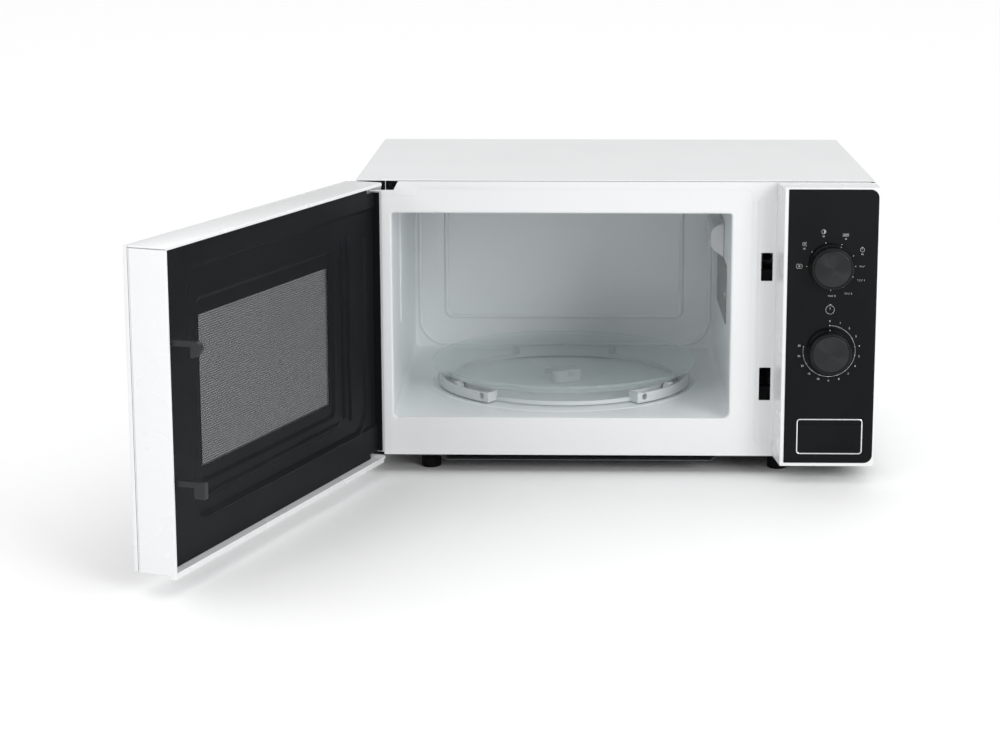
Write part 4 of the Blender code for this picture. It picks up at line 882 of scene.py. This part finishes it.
def icon(kind, centre, size):
    """Plain symbols for the dial's settings, as printed strokes."""
    x, z = centre
    half = size / 2
    if kind == "frost":
        strokes = [[(x + s * half * 0.6 * math.cos(a), z + s * half * 0.6 * math.sin(a)) for s in (-1, 1)]
                   for a in (math.radians(d) for d in (30, 90, 150))]
        frame_points = Rect((x - half * 1.25, x + half * 1.25), (z - half, z + half), size * 0.12, 2).points()
        strokes.append(frame_points + frame_points[:1])
    elif kind == "waves":
        strokes = [[(x + (k - 1) * half * 0.7 + half * 0.18 * math.sin(n * 1.2), z - half + size * n / 8)
                    for n in range(9)] for k in range(3)]
    elif kind == "half_disc":
        strokes = [arc(centre, half, 0, 360, 20)]
        strokes += [[(x + step, z - math.sqrt(half ** 2 - step ** 2)),
                     (x + step, z + math.sqrt(half ** 2 - step ** 2))]
                    for step in (half * 0.2, half * 0.4, half * 0.6, half * 0.8)]
    elif kind == "drops":
        strokes = [arc((x + (k - 1) * half * 0.95, z), half * 0.4, 30, 390, 10) for k in range(3)]
        strokes.append([(x - size * 0.75, z - half * 0.8), (x + size * 0.75, z - half * 0.8)])
    elif kind == "clock":
        strokes = [arc(centre, half, 0, 360, 28), [(x, z), (x, z + half * 0.6)],
                   [(x - half * 0.3, z + half * 1.25), (x + half * 0.3, z + half * 1.25)],
                   [(x, z + half), (x, z + half * 1.25)]]
    else:
        strokes = [[(x - half + size * n / 6, z + half * 0.35 * (-1) ** n) for n in range(7)]]
    return [strip for points in strokes for strip in print_line(points)]


def make_panel_marks():
    marks = []
    dot_radius, label_radius = 0.0208, 0.0292
    track_radius, number_radius, dot = 0.0224, 0.0262, 0.00042
    settings = [(-90, "frost", "", 0.0272), (-53, "waves", "30", label_radius),
                (-14, "half_disc", "60", label_radius), (24.5, "drops", "70", 0.0285),
                (64, "clock", "90", label_radius), (90, "grill", "", 0.0262), (116, "grill", "1", 0.0275),
                (149, "grill", "2", 0.0275), (180, "grill", "3", 0.0258)]
    for degrees, kind, digits, radius in settings:
        marks += print_dot(at(SELECTOR, dot_radius, degrees), dot)
        centre = at(SELECTOR, radius, degrees)
        if kind == "grill":
            marks += icon(kind, centre, 0.0042)
            if digits:
                marks += print_digits(digits, (centre[0] + 0.0038, centre[1]), 0.0016)
        else:
            lift = 0.0016 if digits else 0.0
            marks += icon(kind, (centre[0], centre[1] + lift), 0.0036)
            if digits:
                marks += print_digits(digits, (centre[0], centre[1] - 0.0024), 0.0014)
    numbers = [str(k) for k in range(11)] + ["15", "20", "25", "30"]
    for k, digits in enumerate(numbers):
        marks += print_dot(at(TIMER, track_radius, 20 * k), dot)
        marks += print_digits(digits, at(TIMER, number_radius, 20 * k), 0.0018)
    marks += print_line([at(TIMER, track_radius, 4 * k) for k in range(71)])
    marks += icon("clock", (TIMER.x, TIMER.z + 0.0362), 0.0074)
    piece("dial_marks", merged(*marks), MARKS, "cabinet")


def make_knob(name, joint, body, pointer_deg):
    spot = joint_place(joint)
    depth, radius = spot.y - span(name)[0].y, 0.018
    skirt = radius + 0.0013
    profile = [(0, 0.0006), (skirt, 0.0006), (skirt, 0.0024), (skirt - 0.0004, 0.0031),
               (radius + 0.0003, 0.0038), (radius + 0.0002, 0.0050)]
    edge = 0.0011
    profile += [(radius - edge * (1 - math.cos(t)), depth - edge * (1 - math.sin(t)))
                for t in (0, 0.4, 0.8, 1.2, 1.57)]
    profile += [(radius - 0.0019, depth), (radius - 0.0022, depth - 0.0005), (0, depth - 0.0005)]
    out = turned_place(spot, math.pi / 2, "X")
    pointer = Matrix.Rotation(-math.radians(pointer_deg), 4, "Z")
    notch = box((-0.0005, 0.0005), (radius - 0.0006, radius + 0.003), (0.0026, depth + 0.001))
    stem = rod((0, 0, -0.022), (0, 0, 0.002), 0.003)
    piece(f"{name}_body", turned(profile, 96), KNOB_SIDE, body, name, CABINET @ out @ pointer,
          joined=[stem], cut=[notch])
    disc = [(0, depth - 0.0006), (radius - 0.0024, depth - 0.0006), (radius - 0.0024, depth - 0.0002),
            (radius - 0.0026, depth - 0.00005), (radius - 0.0030, depth), (0.0060, depth - 0.0001),
            (0.0, depth - 0.00016)]
    piece(f"{name}_spun_face", turned(disc, 96), KNOB_FACE, body, (), CABINET @ out @ pointer)
    line = box((-0.00035, 0.00035), (radius + 0.0004, skirt - 0.0002), (0.0028, 0.0036))
    piece(f"{name}_pointer", line, MARKS, body, (), CABINET @ out @ pointer, bevel=0.00008)


def make_button():
    low, high = span("button_frame")
    opening = front_rect(low, high, 0.003, 8)
    width, edge = 0.0011, 0.0004
    section = [(0, high.y), (0, low.y + edge), (edge * 0.3, low.y + edge * 0.3), (edge, low.y),
               (width - edge, low.y), (width - edge * 0.3, low.y + edge * 0.3), (width, low.y + edge),
               (width, high.y)]
    piece("button_bezel", rim(opening, "Y", section), SILVER, "cabinet", "button_frame")
    low, high = span("open_button")
    cap = front_rect(low, high, 0.0018, grow=0.0003)
    rod_low, rod_high = (0.1830, 0.0405), (0.1890, 0.0445)
    plunger = box((rod_low[0], rod_high[0]), (low.y + 0.003, high.y), (rod_low[1], rod_high[1]))
    crease = box((low.x + 0.0006, high.x - 0.0006), (low.y - 0.001, low.y + 0.0004),
                 (high.z - 0.0030, high.z - 0.0024))
    piece("button_cap", slab(cap, "Y", low.y, low.y + 0.0035, 0.0005), GLOSS_BLACK, "button",
          "open_button", joined=[plunger], cut=[crease])


# ---- door ---------------------------------------------------------------------------------------
def make_hinges():
    pivot = joint_place("door_hinge")
    reach, pin = 0.0050, 0.0022
    for name, up in (("top_hinge", 1), ("bottom_hinge", -1)):
        low, high = span(name)
        plate_low, plate_high = (high.z - 0.0025, high.z) if up > 0 else (low.z, low.z + 0.0025)
        pin_low, pin_high = (0.2460, plate_low + 0.0005) if up > 0 else (plate_high - 0.0005, 0.0310)
        outline = arc((pivot.x, pivot.y), reach, 180, 360, 24)
        outline += [(pivot.x + reach, 0.0024), (pivot.x - reach, 0.0024)]
        tab = box((low.x, high.x), (0.0014, high.y), (low.z, high.z))
        shaft = rod((pivot.x, pivot.y, pin_low), (pivot.x, pivot.y, pin_high), pin, 32)
        rivet_base = plate_high if up > 0 else plate_low
        outward = turned_place((pivot.x, pivot.y, rivet_base), 0 if up > 0 else math.pi, "X")
        rivet = turned([(0, 0.0004), (0.0018, 0.0003), (0.0026, -0.0002), (0.0026, -0.0006), (0, -0.0006)],
                       28, place=outward)
        piece(f"{name}_bracket", prism(outline, "Z", plate_low, plate_high), ZINC, "cabinet",
              name, bevel=0.0003, joined=[tab, shaft, rivet])


FRAME_LOW, FRAME_HIGH = span("door_frame", DOOR)
BORDER_LOW = span("door_front_border", DOOR)[0]
RIM, FACE = FRAME_HIGH.y, BORDER_LOW.y
U_LEFT, U_RIGHT = FRAME_LOW.x, FRAME_HIGH.x
DOOR_BOTTOM, DOOR_TOP = BORDER_LOW.z, FRAME_HIGH.z
WINDOW = Rect((0.0800, 0.2940), (0.0840, 0.2010), 0.004)


def make_door_frame():
    wall, back = 0.0022, FRAME_LOW.y
    outline = [(U_LEFT, back), (U_RIGHT, back), (U_RIGHT, RIM), (-0.0045, RIM), (U_LEFT, 0.0130)]
    mesh = softened(housing(outline, DOOR_BOTTOM, DOOR_TOP), 0.0007, 4)
    pocket = prism([(U_LEFT + wall, back + 0.0020), (U_RIGHT - wall, back + 0.0020),
                    (U_RIGHT - wall, RIM + 0.001), (U_LEFT + wall, RIM + 0.001)], "Z", DOOR_BOTTOM + wall,
                   DOOR_TOP - wall)
    window = prism(Rect((0.030, 0.335), (0.045, 0.236), 0.004).points(), "Y", back - 0.001, back + 0.003)
    sweeps = merged(box((U_LEFT - 0.001, 0.0100), (-0.0085, RIM + 0.001), (0.2540, 0.2575)),
                    box((U_LEFT - 0.001, 0.0100), (-0.0085, RIM + 0.001), (0.0194, 0.0230)))
    lip = softened(box((-0.002, U_RIGHT - 0.0002), (RIM - 0.006, RIM - 0.0001),
                       (FRAME_LOW.z, DOOR_BOTTOM + 0.0012)), 0.0006, 3)
    bosses, bores = [], []
    for low, high in ((0.2450, 0.2538), (0.0232, 0.0320)):
        bosses.append(rod((0, 0, low), (0, 0, high), 0.0045, 32))
        bosses.append(box((U_LEFT + 0.001, -0.0010), (-0.0035, 0.0035), (low, high)))
        bores.append(rod((0, 0, low - 0.001), (0, 0, high + 0.001), 0.0025, 32))
    end, beyond = U_RIGHT, U_RIGHT + 0.001
    grooves = [box((end - 0.0004, beyond), (back + 0.0010, back + 0.0015),
                   (DOOR_BOTTOM - 0.001, DOOR_TOP + 0.001)),
               box((end - 0.0018, beyond), (back - 0.001, RIM + 0.001),
                   (DOOR_TOP - 0.0018, DOOR_TOP - 0.0011))]
    piece("door_frame_moulding", mesh, WHITE_PLASTIC, "door", "door_frame", DOOR,
          joined=[lip], cut=[pocket, window, sweeps, *grooves])
    piece("door_hinge_bosses", merged(*bosses), WHITE_PLASTIC, "door", (), DOOR,
          bevel=0.0002, cut=bores)


def make_door_front():
    border, depth, edge = 0.0036, 0.0037, 0.0013
    outer = Rect((U_LEFT, U_RIGHT), (DOOR_BOTTOM, DOOR_TOP), (0.003, 0.0012, 0.0012, 0.003), 8)
    inner = Rect((U_LEFT + border, U_RIGHT - border), (DOOR_BOTTOM + border, DOOR_TOP - border),
                 (0.007, 0.001, 0.001, 0.007), 8)
    loops = [(outer, 0, FACE + depth), (outer, 0, FACE + edge)]
    loops += [(outer, edge * (1 - math.cos(t)), FACE + edge * (1 - math.sin(t)))
              for t in (0.4, 0.8, 1.2, 1.57)]
    loops += [(inner, -0.0003, FACE), (inner, 0, FACE + 0.0003), (inner, 0, FACE + depth)]
    mesh = loft([[placed(p, v, "Y") for p in rect.points(inset)] for rect, inset, v in loops], ring=True)
    piece("door_front_rim", mesh, WHITE_PLASTIC, "door", "door_front_border", DOOR)
    low, high = span("door_glass", DOOR)
    pane = front_rect(low, high, (0.0067, 0.001, 0.001, 0.0067), 8)
    piece("door_outer_glass", slab(pane, "Y", low.y, high.y, 0.0005), SMOKED_GLASS, "door",
          "door_glass", DOOR)
    hole = Rect((0.0330, 0.3320), (0.0480, 0.2330), 0.006)
    layer = prism(pane.points(0.0004), "Y", high.y + 0.00005, high.y + 0.00020, [hole.points()])
    piece("door_glass_print", layer, PRINT, "door", (), DOOR)


def hex_tiles(u_span, z_span, holes, pitch, hole_radius, v_low, v_high):
    """Hexagonal cells over an area; those whose middle lies in `holes` are pierced."""
    cell = pitch / math.sqrt(3)
    verts, faces = [], []
    rows = int((z_span[1] - z_span[0]) / (cell * 1.5)) + 1
    columns = int((u_span[1] - u_span[0]) / pitch) + 1
    corner = [(cell * math.sin(math.pi / 3 * k), cell * math.cos(math.pi / 3 * k)) for k in range(6)]
    inner = [(hole_radius * math.sin(math.pi / 3 * k), hole_radius * math.cos(math.pi / 3 * k))
             for k in range(6)]
    for row in range(rows):
        for column in range(columns):
            u = u_span[0] + pitch * (column + 0.5 * (row % 2))
            z = z_span[0] + cell * 1.5 * row
            start = len(verts)
            for v in (v_low, v_high):
                verts += [(u + a, v, z + b) for a, b in corner]
            pierced = holes.x[0] <= u <= holes.x[1] and holes.y[0] <= z <= holes.y[1]
            if not pierced:
                faces.append([start + k for k in range(6)])
                faces.append([start + 6 + k for k in reversed(range(6))])
                continue
            for v in (v_low, v_high):
                verts += [(u + a, v, z + b) for a, b in inner]
            for k in range(6):
                n = (k + 1) % 6
                faces.append((start + k, start + n, start + 12 + n, start + 12 + k))
                faces.append((start + 6 + n, start + 6 + k, start + 18 + k, start + 18 + n))
                faces.append((start + 12 + k, start + 12 + n, start + 18 + n, start + 18 + k))
    data = bpy.data.meshes.new("tiles")
    data.from_pydata(verts, [], faces)
    mesh = bmesh.new()
    mesh.from_mesh(data)
    bpy.data.meshes.remove(data)
    bmesh.ops.remove_doubles(mesh, verts=mesh.verts, dist=0.000005)
    bmesh.ops.recalc_face_normals(mesh, faces=mesh.faces)
    return mesh


def make_door_screen():
    low, high = span("door_screen", DOOR)
    sheet_v = high.y - 0.0004
    margin = 0.005
    area = Rect((WINDOW.x[0] - margin, WINDOW.x[1] + margin), (WINDOW.y[0] - margin, WINDOW.y[1] + margin),
                0.0001)
    holes = Rect((WINDOW.x[0] + 0.0018, WINDOW.x[1] - 0.0014), (WINDOW.y[0] + 0.0016, WINDOW.y[1] - 0.0010),
                 0)
    pitch, hole_radius, skin = 0.00208, 0.00052, 0.00012
    tiles = hex_tiles((area.x[0] - pitch, area.x[1] + pitch), (area.y[0] - pitch, area.y[1] + pitch), holes,
                      pitch, hole_radius, sheet_v - skin, sheet_v)
    outer = front_rect(low, high, 0.003)
    sheet = prism(outer.points(), "Y", sheet_v - 0.0003, sheet_v + 0.0004, [area.points()])
    walls = rim(outer, "Y", [(0, low.y), (0, sheet_v), (0.001, sheet_v), (0.001, low.y)])
    piece("door_screen_perforated", merged(tiles, sheet, walls), SCREEN_BLACK, "door",
          "door_screen", DOOR, sharp=40)
    low, high = span("window_film", DOOR)
    pane = front_rect(low, high, 0.003)
    piece("window_film_sheet", slab(pane, "Y", low.y, high.y, 0.00008), FILM, "door", "window_film",
          DOOR)


def distance_to(rect, radius, u, z):
    """Signed distance to a rounded rectangle, negative inside it."""
    centre_u, centre_z = sum(rect.x) / 2, sum(rect.y) / 2
    du = abs(u - centre_u) - (rect.x[1] - rect.x[0]) / 2 + radius
    dz = abs(z - centre_z) - (rect.y[1] - rect.y[0]) / 2 + radius
    return math.hypot(max(du, 0), max(dz, 0)) + min(max(du, dz), 0) - radius


def distance_to_line(points, u, z):
    """Distance to a run of straight stretches."""
    best = 1.0
    for (u0, z0), (u1, z1) in zip(points, points[1:]):
        along = ((u - u0) * (u1 - u0) + (z - z0) * (z1 - z0)) / ((u1 - u0) ** 2 + (z1 - z0) ** 2)
        t = min(1.0, max(0.0, along))
        best = min(best, math.hypot(u - u0 - t * (u1 - u0), z - z0 - t * (z1 - z0)))
    return best


def grid_lines(low, high, features, exact, coarse=0.0030, fine=0.0005, reach=0.0030):
    """Grid positions, close together at the features, with lines exactly where edges are cut."""
    count = int(reach / fine)
    wanted = [low + coarse * k for k in range(int((high - low) / coarse) + 1)] + [high]
    wanted += [f + fine * k for f in features for k in range(-count, count + 1)]
    kept = sorted(exact)
    for value in sorted(wanted):
        if low < value < high and all(abs(value - other) > fine * 0.7 for other in kept):
            kept.append(value)
    return sorted(kept + [end for end in (low, high) if end not in kept])


def relief(u_lines, z_lines, height, thickness, kept):
    """A closed sheet over a grid whose front follows height(u, z); cells fail kept() to make holes."""
    mesh = bmesh.new()
    front, back = {}, {}
    for i, u in enumerate(u_lines):
        for j, z in enumerate(z_lines):
            front[i, j] = mesh.verts.new((u, height(u, z), z))
            back[i, j] = mesh.verts.new((u, height(u, z) - thickness, z))
    cells = set()
    for i in range(len(u_lines) - 1):
        for j in range(len(z_lines) - 1):
            if kept((u_lines[i] + u_lines[i + 1]) / 2, (z_lines[j] + z_lines[j + 1]) / 2):
                cells.add((i, j))
    for i, j in cells:
        ring = ((i, j), (i + 1, j), (i + 1, j + 1), (i, j + 1))
        mesh.faces.new([front[k] for k in reversed(ring)])
        mesh.faces.new([back[k] for k in ring])
        for (di, dj), a, b in (((0, -1), ring[0], ring[1]), ((1, 0), ring[1], ring[2]),
                               ((0, 1), ring[2], ring[3]), ((-1, 0), ring[3], ring[0])):
            if (i + di, j + dj) not in cells:
                mesh.faces.new((front[a], front[b], back[b], back[a]))
    loose = [vert for vert in mesh.verts if not vert.link_faces]
    bmesh.ops.delete(mesh, geom=loose, context="VERTS")
    bmesh.ops.recalc_face_normals(mesh, faces=mesh.faces)
    return mesh


def make_door_inner_cover():
    low, high = span("door_inner_cover", DOOR)
    base = high.y + 0.0012
    corner_u, notch_low, notch_high = 0.0100, 0.0240, 0.2530
    thickness, field_drop, recess_drop = 0.0012, 0.0020, 0.0016
    slots = [((0.3455, 0.3532), (z - 0.002, z + 0.018)) for z in (HOOK_LOW, HOOK_HIGH)]
    field = Rect((-0.040, 0.3130), (0.0480, 0.2390), 0)
    recess = Rect((0.0745, 0.2985), (0.0735, 0.2135), 0)
    corner = arc((0.0352, 0.0690), 0.021, 180, 270, 6)
    beads = [([(0.0142, 0.2150)] + corner + [(0.2900, 0.0480)], 0.0022, 0.0019),
             ([(0.0446, 0.2175), (0.0446, 0.0640)], 0.0020, 0.0019),
             ([(0.0564, 0.2155), (0.0564, 0.0690)], 0.0020, 0.0019),
             ([(0.2910, 0.0625), (0.0700, 0.0640)], 0.0022, 0.0018)]

    def height(u, z):
        v = base - field_drop * (1 - ramp(distance_to(field, 0.018, u, z), -0.0015, 0.0015))
        v -= recess_drop * (1 - ramp(distance_to(recess, 0.007, u, z), -0.0020, 0.0020))
        for points, half, rise in beads:
            away = distance_to_line(points, u, z) / half
            if away < 1:
                v += rise * (1 - away * away) ** 0.7
        return v

    def kept(u, z):
        if u < corner_u and (z < notch_low or z > notch_high):
            return False
        if WINDOW.x[0] < u < WINDOW.x[1] and WINDOW.y[0] < z < WINDOW.y[1]:
            return False
        return not any(a[0] < u < a[1] and b[0] < z < b[1] for a, b in slots)

    u_exact = [low.x, corner_u, *WINDOW.x, *slots[0][0], high.x]
    z_exact = [low.z, notch_low, notch_high, *WINDOW.y, *slots[0][1], *slots[1][1], high.z]
    u_features = [field.x[1], *recess.x, 0.0142, 0.0446, 0.0564]
    z_features = [*field.y, *recess.y, 0.0480, 0.0632]
    sheet = relief(grid_lines(low.x, high.x, u_features, u_exact),
                   grid_lines(low.z, high.z, z_features, z_exact), height, thickness, kept)
    piece("door_inner_trim", sheet, BLACK_PLASTIC, "door", "door_inner_cover", DOOR,
          sharp=50)
    lip = box((low.x, low.x + 0.0012), (base - 0.0032, 0.0128), (notch_low, notch_high))
    piece("door_trim_lip", lip, BLACK_PLASTIC, "door", (), DOOR, bevel=0.0003)


HOOKS_LOW, HOOKS_HIGH = span("latch_hooks", DOOR)
HOOK_LOW, HOOK_HIGH = HOOKS_LOW.z + 0.0070, HOOKS_LOW.z + 0.1115


def make_latch():
    left, right = HOOKS_LOW.x, HOOKS_HIGH.x
    front, bar_back, tip = HOOKS_LOW.y, HOOKS_LOW.y + 0.0080, HOOKS_HIGH.y
    bar = box((left, right), (front, bar_back), (HOOKS_LOW.z, HOOKS_HIGH.z))
    arms = []
    for z in (HOOK_LOW, HOOK_HIGH):
        arm = [(bar_back - 0.001, z + 0.0040), (bar_back + 0.0045, z + 0.0078), (tip - 0.0040, z + 0.0084),
               (tip - 0.0040, z + 0.0125), (bar_back - 0.001, z + 0.0125)]
        arms.append(prism(arm, "X", left, right))
    square = Rect((tip - 0.0090, tip - 0.0002), (HOOK_LOW, HOOK_LOW + 0.0125), 0.0012, 5)
    arms.append(prism(square.points(), "X", left, right))
    z = HOOK_HIGH
    nose = [(tip - 0.0088, z + 0.0125)] + arc((tip - 0.0055, z + 0.0073), 0.0053, 80, -40, 14)
    nose += [(tip - 0.0040, z + 0.0012), (tip - 0.0065, z + 0.0002), (tip - 0.0088, z + 0.0002)]
    arms.append(prism(nose, "X", left, right))
    piece("latch_hook_bar", bar, HOOK_PLASTIC, "latch", "latch_hooks", DOOR, bevel=0.0004,
          joined=arms)


def make_latch_spring():
    """The coil over the hook bar, made as one rigid piece on no body."""
    low, high = span("latch_spring", DOOR)
    wire, turns, steps = 0.0004, 5, 24
    middle, radius = (low + high) / 2, (high.x - low.x) / 2 - wire

    def outward(k):
        turn = 2 * math.pi * k / steps
        return Vector((math.cos(turn), math.sin(turn), 0))

    points = []
    for k in range(turns * steps + 1):
        height = low.z + wire + (high.z - low.z - 2 * wire) * k / (turns * steps)
        points.append(Vector((middle.x, middle.y, height)) + radius * outward(k))
    coil = piece("latch_spring_coil", tube(points, wire, 10, outward), SPRING, None,
                 "latch_spring", DOOR, sharp=60)
    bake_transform(coil)


# ---- small fixings at the back ------------------------------------------------------------------
def make_back_fittings():
    low, high = span("cord_inlet")
    middle, radius = (low + high) / 2, (high.x - low.x) / 2
    out = turned_place((middle.x, 0, middle.z), -math.pi / 2, "X")
    bore, neck, face = 0.0045, 0.0080, high.y - 0.0028
    profile = [(bore, low.y), (neck, low.y), (neck, face), (radius, face), (radius, face + 0.0008),
               (radius - 0.0006, high.y - 0.0004), (radius - 0.0016, high.y), (bore + 0.0012, high.y),
               (bore + 0.0003, high.y - 0.0004), (bore, high.y - 0.0012)]
    piece("cord_inlet_bush", turned(profile, 64, closed=True, place=out), BLACK_PLASTIC, "cabinet",
          "cord_inlet")
    for k in (1, 2, 3):
        low, high = span(f"cover_screw_{k}")
        middle, radius = (low + high) / 2, (high.x - low.x) / 2
        out = turned_place((middle.x, 0, middle.z), -math.pi / 2, "X")
        base = high.y - 0.0022
        profile = [(0, low.y), (0.0013, low.y), (0.0013, base), (radius, base), (radius, base + 0.0006),
                   (radius - 0.0003, base + 0.0012), (radius - 0.0010, base + 0.0018),
                   (radius - 0.0019, high.y), (0, high.y)]
        cross = [box((middle.x - a, middle.x + a), (high.y - 0.0010, high.y + 0.001),
                     (middle.z - b, middle.z + b)) for a, b in ((0.0016, 0.0004), (0.0004, 0.0016))]
        piece(f"cover_screw_{k}_head", turned(profile, 40, place=out), ZINC, "cabinet",
              f"cover_screw_{k}", cut=cross)


# ---- nodes inside the cabinet, shown in their imported shape ---------------------------------------
# latch_holder gets the near-black painted shade, so the latch slots look shaded inside.
INNER_FINISHES = {"turntable_motor": ZINC, "timer_unit": ZINC, "waveguide": ZINC, "magnetron": ZINC,
                  "thermal_cutout": SILVER, "selector_switch": BLACK_PLASTIC, "latch_holder": HOLDER_PAINTED_SHADE,
                  "release_lever": WHITE_PLASTIC, "lever_spring": SPRING, "door_switch_upper": BLACK_PLASTIC,
                  "door_switch_middle": BLACK_PLASTIC, "door_switch_lower": BLACK_PLASTIC,
                  "hv_transformer": LAMINATION, "hv_capacitor": ALUMINIUM, "hv_diode": BLACK_PLASTIC,
                  "filter_board": BOARD, "oven_lamp": CLEAR_GLASS, "fan_duct": BLACK_PLASTIC,
                  "fan_motor": LAMINATION, "fan_blade": PALE_PLASTIC, "grill_reflector": ALUMINIUM, }


def finish_inner_nodes():
    for name, material in INNER_FINISHES.items():
        node = frame["nodes"][name]
        node.data.materials.clear()
        node.data.materials.append(material)


make_camera()
make_studio()
make_outer_cover()
make_rear_panel()
make_base_plate()
make_feet()
make_front_plate()
make_cavity()
make_cavity_fittings()
make_turntable()
make_roller_ring()
make_panel()
make_panel_marks()
make_knob("selector_knob", "selector_turn", "selector", 24.5)
make_knob("timer_knob", "timer_turn", "timer", 0.0)
make_button()
make_hinges()
make_door_frame()
make_door_front()
make_door_screen()
make_door_inner_cover()
make_latch()
make_latch_spring()
make_back_fittings()
finish_inner_nodes()
